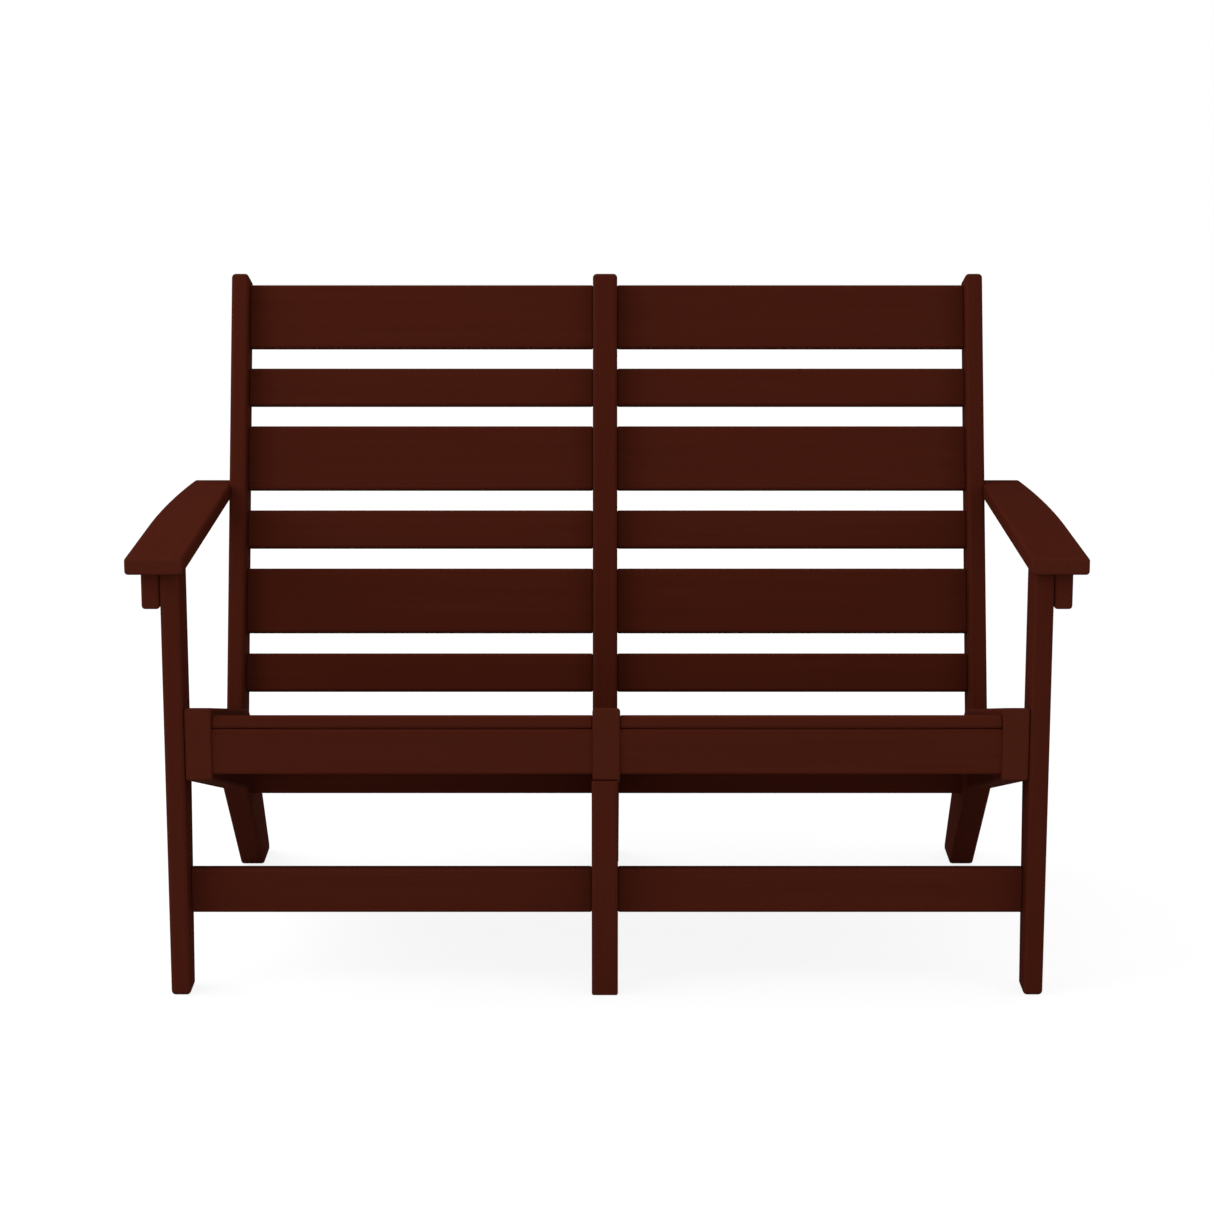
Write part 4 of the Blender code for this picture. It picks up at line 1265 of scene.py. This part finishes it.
@dataclass
class SideFrames(Assembly):
    """Rails with their rear legs, front legs and uprights of the three frames."""

    back: Back
    cross: "CrossBoards"
    leg_front: float = -0.0030
    leg_depth: float = 0.0790
    foot_depth: float = 0.0530
    taper_start: float = 0.2995
    upright_depth: float = 0.0814
    upright_top_depth: float = 0.0667
    tenon_length: float = 0.0700
    tenon_thickness: float = 0.0220
    leg_top: float = 0.6055
    centre_sawn: float = 0.0020
    rail_front_sawn: float = 0.0035
    rear_foot_eased: float = 0.0058
    upright_eased: float = 0.0060
    leg_eased: float = 0.0060
    bolt_levels: tuple[str, ...] = ("lower", "upper")

    def rail_outline(self) -> list[Vector]:
        """Lay out a rail and its rear leg.

        Returns:
            The side outline, from the top's front down and round.
        """
        view = self.view
        leg_run = math.tan(view.rear_leg_slope)
        under_start = view.rail_underside(0.0)
        knee = (view.foot_front * leg_run - under_start) / (leg_run - math.tan(view.underside_slope))
        foot_back = view.foot_front + view.foot_length
        return view.outline(
            (0.0, view.rail_top_front),
            (0.0, under_start),
            (knee, view.rail_underside(knee)),
            (view.foot_front, 0.0),
            (foot_back, 0.0),
            (foot_back, view.tip_height),
            (view.heel, view.rail_heel(view.heel)),
            (view.rail_top_length, view.rail_top(view.rail_top_length)),
        )

    def leg_outline(self) -> list[Vector]:
        """Lay out an outer front leg.

        Returns:
            The side outline, from the foot's front.
        """
        front, back = self.leg_front, self.leg_front + self.leg_depth
        return self.view.outline((front, 0.0), (front + self.foot_depth, 0.0), (back, self.taper_start),
                                 (back, self.leg_top), (front, self.leg_top))

    def centre_leg_outline(self) -> list[Vector]:
        """Lay out the centre front leg, under its rail.

        Returns:
            The side outline, from the foot's front.
        """
        front, back = self.leg_front, self.leg_front + self.leg_depth
        drop = FIT_GAP / math.cos(self.view.underside_slope)
        tops = ((y, self.view.rail_underside(y) - drop) for y in (back, front))
        return self.view.outline((front, 0.0), (front + self.foot_depth, 0.0), *tops)

    def depth(self, along: float) -> float:
        """Depth of the tapered uprights at a distance along them."""
        share = along / self.back.upright_length
        return self.upright_depth + (self.upright_top_depth - self.upright_depth) * share

    def upright_outline(self) -> list[Vector]:
        """Lay out an upright with its tenon.

        Returns:
            The side outline, from the tenon's front.
        """
        low, length = self.view.shoulder() - self.tenon_length, self.back.upright_length
        return self.view.back_outline((low, 0.0), (low, self.depth(low)),
                                      (length, self.upright_top_depth), (length, 0.0))

    def pocket(self, node: str, thickness: float) -> Shape:
        """Build what cuts the pocket in a rail for the lower end of an upright.

        Args:
            node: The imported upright.
            thickness: The thickness of what goes into the pocket.

        Returns:
            A closed shape.
        """
        low = self.view.shoulder() - self.tenon_length - FIT_GAP
        high = self.view.shoulder() + self.upright_depth
        half = thickness / 2.0 + FIT_GAP
        outline = self.view.back_outline((high, -FIT_GAP), (low, -FIT_GAP),
                                         (low, self.depth(low) + FIT_GAP),
                                         (high, self.depth(high) + FIT_GAP))
        return side_prism(outline, sum(span(node)) / 2.0 - half, half * 2.0)

    def shoulder_cuts(self) -> list[Shape]:
        """Build what narrows the centre upright to its tenon.

        Returns:
            A closed shape for each side of the tenon.
        """
        view = self.view
        low_x, high_x = span("back_upright_centre")
        middle, half = (low_x + high_x) / 2.0, self.tenon_thickness / 2.0
        width = (high_x - low_x - self.tenon_thickness) / 2.0 + CUT_OVERRUN
        near = view.upright_y - self.upright_depth
        low = view.rail_heel(view.heel) - self.tenon_length
        lift = FIT_GAP / math.cos(view.heel_slope)
        outline = view.outline(
            (near, view.rail_top(near) + lift),
            (near, low),
            (view.heel, low),
            (view.heel, view.rail_heel(view.heel) + lift),
            (view.rail_top_length, view.rail_top(view.rail_top_length) + lift),
        )
        return [side_prism(outline, start, width) for start in (middle - half - width, middle + half)]

    def leg_bolts(self, side: Side) -> list[Bolt]:
        """Bolts of an outer leg."""
        return [Bolt(f"leg_bolt_{side.word}_{level}", side) for level in self.bolt_levels]

    def parts(self) -> Iterator[Part]:
        """Lay out the boards and bolts of the three frames.

        Yields:
            The boards of each frame, then the bolts.
        """
        rail, upright = self.rail_outline(), self.upright_outline()
        rail_ends = {0: self.rail_front_sawn, 3: self.rear_foot_eased, 4: self.rear_foot_eased}
        centre_ends = {0: self.centre_sawn, 2: self.centre_sawn}
        tenon_bolts = {side: Bolt("upright_bolt_" + side.word, side) for side in Side}
        centre_bolt = Bolt("upright_bolt_centre", Side.RIGHT)
        for side in Side:
            node = "back_upright_" + side.word
            low, high = span(node)
            yield Board.across("rail_and_rear_leg_" + side.word, rail, Run.DOWN_THE_SEAT, sawn=rail_ends,
                               pockets=[self.pocket(node, high - low)],
                               fasteners=[*self.cross.rail_screws(side), tenon_bolts[side]])
            yield Board.across("front_leg_" + side.word, self.leg_outline(), Run.UPWARD,
                               eased=self.leg_eased,
                               fasteners=[*self.cross.leg_screws(side), *self.leg_bolts(side)])
            yield Board.across(node, upright, Run.UP_THE_BACK, eased=self.upright_eased,
                               fasteners=self.back.screws(side))
        yield Board.across("rail_and_rear_leg_centre", rail, Run.DOWN_THE_SEAT, sawn=rail_ends,
                           pockets=[self.pocket("back_upright_centre", self.tenon_thickness)],
                           fasteners=[centre_bolt])
        yield Board.across("front_leg_centre", self.centre_leg_outline(), Run.UPWARD, sawn=centre_ends)
        yield Board.across("back_upright_centre", upright, Run.UP_THE_BACK, eased=self.upright_eased,
                           pockets=self.shoulder_cuts())
        for side in Side:
            yield from self.leg_bolts(side)
        yield from (*tenon_bolts.values(), centre_bolt)


@dataclass
class Seat(Assembly):
    """Slats of both bays and the cleats that carry them."""

    slat_count: int = 4
    slat_width: float = 0.0992
    slat_gap: float = 0.0130
    slat_eased: float = 0.0060
    front: float = 0.0070
    cleat_thickness: float = 0.0220
    cleat_front: float = 0.0800
    cleat_margin: float = 0.0080
    cleat_eased: float = 0.0025

    @property
    def down(self) -> Vector:
        """Direction down the seat's slope, to the back."""
        return Run.DOWN_THE_SEAT.along

    @property
    def above(self) -> Vector:
        """Direction square to the seat's surface."""
        return Vector((0.0, math.sin(SEAT_SLOPE), math.cos(SEAT_SLOPE)))

    def slat_middles(self) -> Iterator[tuple[int, Vector]]:
        """Lay out the slats.

        Yields:
            Number and middle of each slat in the side view, from the front.
        """
        start = self.view.point(self.front, self.view.seat_top(self.front))
        for number in range(1, self.slat_count + 1):
            along = self.slat_width / 2.0 + (number - 1) * (self.slat_width + self.slat_gap)
            yield number, start + self.down * along - self.above * (self.view.seat_thickness / 2.0)

    def cleat_line(self) -> tuple[Vector, float]:
        """Find where the cleats lie.

        Returns:
            The front end of their upper face, and their length.
        """
        depth = self.slat_count * (self.slat_width + self.slat_gap) - self.slat_gap
        set_back = (self.cleat_front - self.front) / math.cos(SEAT_SLOPE)
        start = self.view.point(self.cleat_front, self.view.seat_underside(self.cleat_front))
        return start - self.above * FIT_GAP, depth - set_back - self.cleat_margin

    def cleat_outline(self) -> list[Vector]:
        """Lay out the cleats.

        Returns:
            Their side outline.
        """
        start, length = self.cleat_line()
        along = self.down * length
        under = self.above * self.cleat_thickness
        return [start, start - under, start - under + along, start + along]

    def slat_screws(self, cleat: str) -> list[Screw]:
        """Place the screws from below through a cleat into the slats over it.

        Args:
            cleat: The cleat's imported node.

        Returns:
            A screw for each slat that the cleat carries.
        """
        start, length = self.cleat_line()
        centre = start + self.down * (length / 2.0)
        drop = self.above * (self.view.seat_thickness / 2.0 + FIT_GAP + self.cleat_thickness)
        places = (middle - drop for _, middle in self.slat_middles())
        return [
            Screw(at_x(sum(span(cleat)) / 2.0, place), self.above) for place in places
            if abs((place - centre).dot(self.down)) < length / 2.0 - self.cleat_margin
        ]

    def cleat_screws(self, cleat: str, end: Side) -> list[Screw]:
        """Place the screws through a cleat into its rail.

        Args:
            cleat: The cleat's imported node.
            end: The side of the bay at which the rail stands.

        Returns:
            The two screws.
        """
        start, length = self.cleat_line()
        face = face_x(cleat, end.other)
        centre = start + self.down * (length / 2.0) - self.above * (self.cleat_thickness / 2.0)
        offsets = quarter_points(-length / 2.0, length / 2.0)
        return [Screw(at_x(face, centre + self.down * offset), end.outward) for offset in offsets]

    def fixings(self, side: Side) -> dict[str, list[Screw]]:
        """Place the screws of one bay's cleats.

        Args:
            side: The bay.

        Returns:
            The screws of each cleat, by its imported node.
        """
        found = {}
        for end in Side:
            cleat = f"seat_cleat_{side.word}_bay_{end.word}"
            found[cleat] = self.slat_screws(cleat) + self.cleat_screws(cleat, end)
        return found

    def screws(self, side: Side) -> list[Screw]:
        """Screws of one bay in one list."""
        return [screw for screws in self.fixings(side).values() for screw in screws]

    def parts(self) -> Iterator[Part]:
        """Lay out the slats and cleats.

        Yields:
            The slats and then the cleats of each bay.
        """
        for side in Side:
            for number, middle in self.slat_middles():
                yield Batten(f"seat_slat_{side.word}_{number}", middle, self.slat_width,
                             self.view.seat_thickness, -SEAT_SLOPE, self.slat_eased)
            for cleat, screws in self.fixings(side).items():
                yield Board.across(cleat, self.cleat_outline(), Run.DOWN_THE_SEAT, eased=self.cleat_eased,
                                   fasteners=screws)


@dataclass
class CrossBoards(Assembly):
    """Aprons, low stretchers and rear cross members of both bays."""

    thickness: float = 0.0190
    apron_front: float = 0.0040
    apron_bottom: float = 0.3184
    stretcher_front: float = 0.0300
    stretcher_bottom: float = 0.1106
    stretcher_height: float = 0.0645
    member_front: float = 0.4900
    member_bottom: float = 0.1567
    member_screw_rise: float = 0.0180
    member_screw_spacing: float = 0.0280
    apron_eased: float = 0.0045
    member_eased: float = 0.0025

    def sloped(self, node: str, front: float, bottom: float, eased: float) -> Board:
        """Start an upright board whose top is cut to the seat's slope.

        Args:
            node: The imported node.
            front: Distance of its front face behind the rails' front.
            bottom: Height of its lower edge.
            eased: Radius of its long edges.

        Returns:
            The board.
        """
        back = front + self.thickness
        drop = FIT_GAP / math.cos(SEAT_SLOPE)
        tops = ((y, self.view.seat_underside(y) - drop) for y in (back, front))
        outline = self.view.outline((front, bottom), (back, bottom), *tops)
        return Board.across(node, outline, Run.SIDEWAYS, END_REACH, cut=Cut.TO_LENGTH, eased=eased)

    def end_screws(self, outer: str, side: Side, front: float, heights: Iterable[float]) -> list[Screw]:
        """Place screws through an outer board into the end of a cross board.

        Args:
            outer: The outer board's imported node.
            side: The side on which it stands.
            front: Distance of the cross board's front face behind the rails' front.
            heights: Height of each screw.

        Returns:
            The screws.
        """
        face = face_x(outer, side)
        y = self.view.front_y + front + self.thickness / 2.0
        return [Screw(Vector((face, y, z)), side.inward) for z in heights]

    def rail_screws(self, side: Side) -> list[Screw]:
        """Place the screws through an outer rail into apron and cross member.

        Args:
            side: The rail's side.

        Returns:
            The screws.
        """
        rail = "rail_and_rear_leg_" + side.word
        apron_top = self.view.seat_underside(self.apron_front + self.thickness / 2.0)
        member = self.member_bottom + self.member_screw_rise
        in_apron = quarter_points(self.apron_bottom, apron_top)
        in_member = (member, member + self.member_screw_spacing)
        return (self.end_screws(rail, side, self.apron_front, in_apron)
                + self.end_screws(rail, side, self.member_front, in_member))

    def leg_screws(self, side: Side) -> list[Screw]:
        """Screws through an outer leg into the stretcher."""
        heights = quarter_points(self.stretcher_bottom, self.stretcher_bottom + self.stretcher_height)
        return self.end_screws("front_leg_" + side.word, side, self.stretcher_front, heights)

    def parts(self) -> Iterator[Part]:
        """Lay out the boards of both bays.

        Yields:
            Apron, cross member and stretcher of each bay.
        """
        centre = self.view.point(self.stretcher_front + self.thickness / 2.0,
                                 self.stretcher_bottom + self.stretcher_height / 2.0)
        for side in Side:
            yield self.sloped("front_apron_" + side.word, self.apron_front, self.apron_bottom,
                              self.apron_eased)
            yield self.sloped("rear_cross_member_" + side.word, self.member_front, self.member_bottom,
                              self.member_eased)
            yield Batten("front_stretcher_" + side.word, centre, self.thickness, self.stretcher_height)


@dataclass
class Arms(Assembly):
    """Arms that narrow to the back, and the blocks that hold them to the legs."""

    width: float = 0.0802
    rear_width: float = 0.0600
    front: float = -0.0255
    rear_reach: float = 0.0424
    curve_start: float = 0.2244
    curve_steps: int = 28
    thickness: float = 0.0241
    underside: float = 0.6058
    block_height: float = 0.0528
    block_depth: float = 0.0650
    block_front: float = -0.0010
    screw_sink: float = 0.0160
    notch_reach: float = 0.1600
    notch_share: float = 3.0

    def plan(self, side: Side) -> list[Vector]:
        """Lay out an arm from above.

        Args:
            side: The arm's side.

        Returns:
            The outline at the height of its underside.
        """
        inner = abs(face_x("arm_" + side.word, side.other))
        outer = inner + self.width
        rear = self.view.upright_front(self.underside + self.thickness / 2.0) + self.rear_reach
        run = rear - self.curve_start
        narrowing = self.width - self.rear_width
        radius = (run ** 2 + narrowing ** 2) / (2.0 * narrowing)
        sweep = math.asin(run / radius)
        corners = [(inner, rear), (inner, self.front), (outer, self.front)]
        for step in range(self.curve_steps + 1):
            angle = sweep * step / self.curve_steps
            x = outer - radius * (1.0 - math.cos(angle))
            corners.append((x, self.curve_start + radius * math.sin(angle)))
        return [Vector((side.value * x, self.view.front_y + y, self.underside)) for x, y in corners]

    def notch(self, side: Side) -> Shape:
        """Build what cuts the notch that lets an arm's inner edge in round the upright.

        Args:
            side: The arm's side.

        Returns:
            A closed shape.
        """
        low_x, high_x = span("back_upright_" + side.word)
        low = (self.underside - self.view.upright_z) / math.cos(BACK_RECLINE) - self.thickness
        high = low + self.thickness * self.notch_share
        outline = self.view.back_outline((low, -FIT_GAP), (low, self.notch_reach),
                                         (high, self.notch_reach), (high, -FIT_GAP))
        return side_prism(outline, low_x - FIT_GAP, high_x - low_x + FIT_GAP * 2.0)

    def block_outline(self) -> list[Vector]:
        """Lay out a block under an arm.

        Returns:
            The side outline.
        """
        front, back = self.block_front, self.block_front + self.block_depth
        bottom, top = self.underside - self.block_height, self.underside - FIT_GAP
        return self.view.outline((front, bottom), (back, bottom), (back, top), (front, top))

    def block_screws(self, side: Side) -> list[Screw]:
        """Place the screws of a block, up into the arm and sideways into the leg.

        Args:
            side: The block's side.

        Returns:
            The screws.
        """
        node = "arm_bracket_" + side.word
        middle, face = sum(span(node)) / 2.0, face_x(node, side)
        bottom = self.underside - self.block_height
        front = self.view.front_y + self.block_front
        found = [
            Screw(Vector((middle, y, bottom)), Run.UPWARD.along, self.screw_sink)
            for y in quarter_points(front, front + self.block_depth)
        ]
        for z in quarter_points(bottom, self.underside - FIT_GAP):
            found.append(Screw(Vector((face, front + self.block_depth / 2.0, z)), side.inward))
        return found

    def parts(self) -> Iterator[Part]:
        """Lay out the arms and blocks.

        Yields:
            The arm and the block of each side.
        """
        for side in Side:
            yield Board("arm_" + side.word, self.plan(side), Vector((0.0, 0.0, self.thickness)),
                        Run.FRONT_TO_BACK, pockets=[self.notch(side)])
            yield Board.across("arm_bracket_" + side.word, self.block_outline(), Run.UPWARD,
                               fasteners=self.block_screws(side))


@dataclass
class HiddenSteel:
    """Pins and nuts, which stay as packed."""

    kinds: tuple[str, ...] = ("pin", "nut")

    def build(self, shop: Workshop) -> None:
        """Give the steel finish to each packed pin and nut.

        Args:
            shop: Finishes and trees.
        """
        for name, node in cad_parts.items():
            if any(kind in name.split("_") for kind in self.kinds):
                node.data.materials.clear()
                node.data.materials.append(shop.finishes[Slot.STEEL])
                LOG.info("%s: dressed", name)


# Room
@dataclass(frozen=True)
class Lamp:
    """Soft area lamp aimed at a point."""

    name: str
    place: tuple[float, float, float]
    aim: tuple[float, float, float]
    size: float
    power: float

    def hang(self) -> None:
        """Put the lamp into the scene."""
        light = bpy.data.lights.new(self.name, "AREA")
        light.shape = "SQUARE"
        light.size = self.size
        light.energy = self.power
        lamp = bpy.data.objects.new(self.name, light)
        lamp.location = self.place
        lamp.rotation_euler = (Vector(self.aim) - Vector(self.place)).to_track_quat("-Z", "Y").to_euler()
        bpy.context.scene.collection.objects.link(lamp)


@dataclass
class Studio:
    """Pale floor, soft light and the photograph's camera."""

    view: SideView
    camera_behind_front: float = -4.3289
    camera_height: float = 1.4935
    camera_down: float = math.radians(12.21)
    focal_share: float = 3240.9 / 1214.0
    sensor: float = 36.0
    floor_size: float = 400.0
    floor_colour: tuple = (0.52, 0.57, 0.65, 1.0)
    shadow_depth: float = 0.14
    sky: float = 0.91
    lamps: tuple[Lamp, ...] = (
        Lamp("high_left_light", (-3.0, 0.5, 3.0), (0.0, 0.0, 0.5), 2.4, 70.0),
        Lamp("front_left_light", (-3.4, -2.0, 2.5), (0.0, 0.0, 0.5), 2.4, 60.0),
        Lamp("front_right_light", (3.4, -2.0, 2.5), (0.0, 0.0, 0.5), 2.4, 22.0),
        Lamp("low_front_light", (0.0, -3.4, 0.8), (0.0, 0.0, 0.4), 1.2, 14.0),
    )

    def background_share(self, wiring: Wiring) -> Output:
        """Tell the rays that see the white background.

        Args:
            wiring: The tree that asks.

        Returns:
            One for camera, glossy and transmission rays, and nothing for others.
        """
        path = wiring.add("ShaderNodeLightPath").outputs
        seen = wiring.math("MAXIMUM", path["Is Camera Ray"], path["Is Glossy Ray"])
        return wiring.math("MAXIMUM", seen, path["Is Transmission Ray"])

    def lay_floor(self) -> None:
        """Lay a large floor that shows white, less the light that the object keeps off it."""
        shape = bmesh.new()
        half = self.floor_size / 2.0
        corners = ((-half, -half), (half, -half), (half, half), (-half, half))
        shape.faces.new([shape.verts.new((x, y, -FIT_GAP)) for x, y in corners])
        floor = as_object("floor", shape)
        made, wiring, shader = fresh_material("pale_floor")
        nodes = wiring.tree.nodes
        nodes.remove(shader)
        plain = wiring.out("ShaderNodeBsdfDiffuse", ("Color", self.floor_colour))
        level = self.shadow_depth / self.sky
        lit = wiring.out("ShaderNodeBsdfDiffuse", ("Color", (level, level, level, 1.0)))
        glow = wiring.out("ShaderNodeEmission", ("Color", WHITE), ("Strength", 1.0 - self.shadow_depth))
        shown = wiring.out("ShaderNodeAddShader", (0, glow), (1, lit))
        share = self.background_share(wiring)
        both = wiring.out("ShaderNodeMixShader", (0, share), (1, plain), (2, shown))
        wiring.fill(nodes["Material Output"], ("Surface", both))
        floor.data.materials.append(made)

    def light_world(self) -> None:
        """Spread an even sky light, white to the camera and in reflections."""
        world = bpy.data.worlds.new("white_room")
        world.use_nodes = True
        wiring = Wiring(world.node_tree)
        strength = wiring.spread(self.background_share(wiring), (0.0, 1.0), (self.sky, 1.0))
        wiring.fill(world.node_tree.nodes["Background"], ("Color", WHITE), ("Strength", strength))
        bpy.context.scene.world = world

    def set_camera(self) -> None:
        """Put the camera at the photograph's place and angle."""
        lens = bpy.data.cameras.new("camera")
        lens.sensor_width = self.sensor
        lens.lens = self.focal_share * self.sensor
        camera = bpy.data.objects.new("camera", lens)
        camera.location = (0.0, self.view.front_y + self.camera_behind_front, self.camera_height)
        camera.rotation_euler = (math.pi / 2.0 - self.camera_down, 0.0, 0.0)
        bpy.context.scene.collection.objects.link(camera)
        bpy.context.scene.camera = camera

    def build(self) -> None:
        """Set up the room."""
        bpy.context.scene.view_settings.view_transform = "Standard"
        self.lay_floor()
        self.light_world()
        for lamp in self.lamps:
            lamp.hang()
        self.set_camera()


def main() -> None:
    """Build the loveseat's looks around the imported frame."""
    logging.basicConfig(level=logging.INFO, format="%(message)s")
    view = SideView(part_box("rail_and_rear_leg_centre")[0].y)
    shop = Workshop.opened()
    back, cross, seat, arms = Back(view), CrossBoards(view), Seat(view), Arms(view)
    for assembly in (back, SideFrames(view, back, cross), seat, cross, arms, HiddenSteel()):
        assembly.build(shop)
    sets = {
        "back_slat_screws": back.screws,
        "rail_screws": cross.rail_screws,
        "stretcher_screws": cross.leg_screws,
        "seat_screws": seat.screws,
        "arm_block_screws": arms.block_screws,
    }
    for name, screws_of in sets.items():
        ScrewSet(name, [screw for side in Side for screw in screws_of(side)]).make(shop)
    Studio(view).build()


if __name__ == "__main__":
    main()
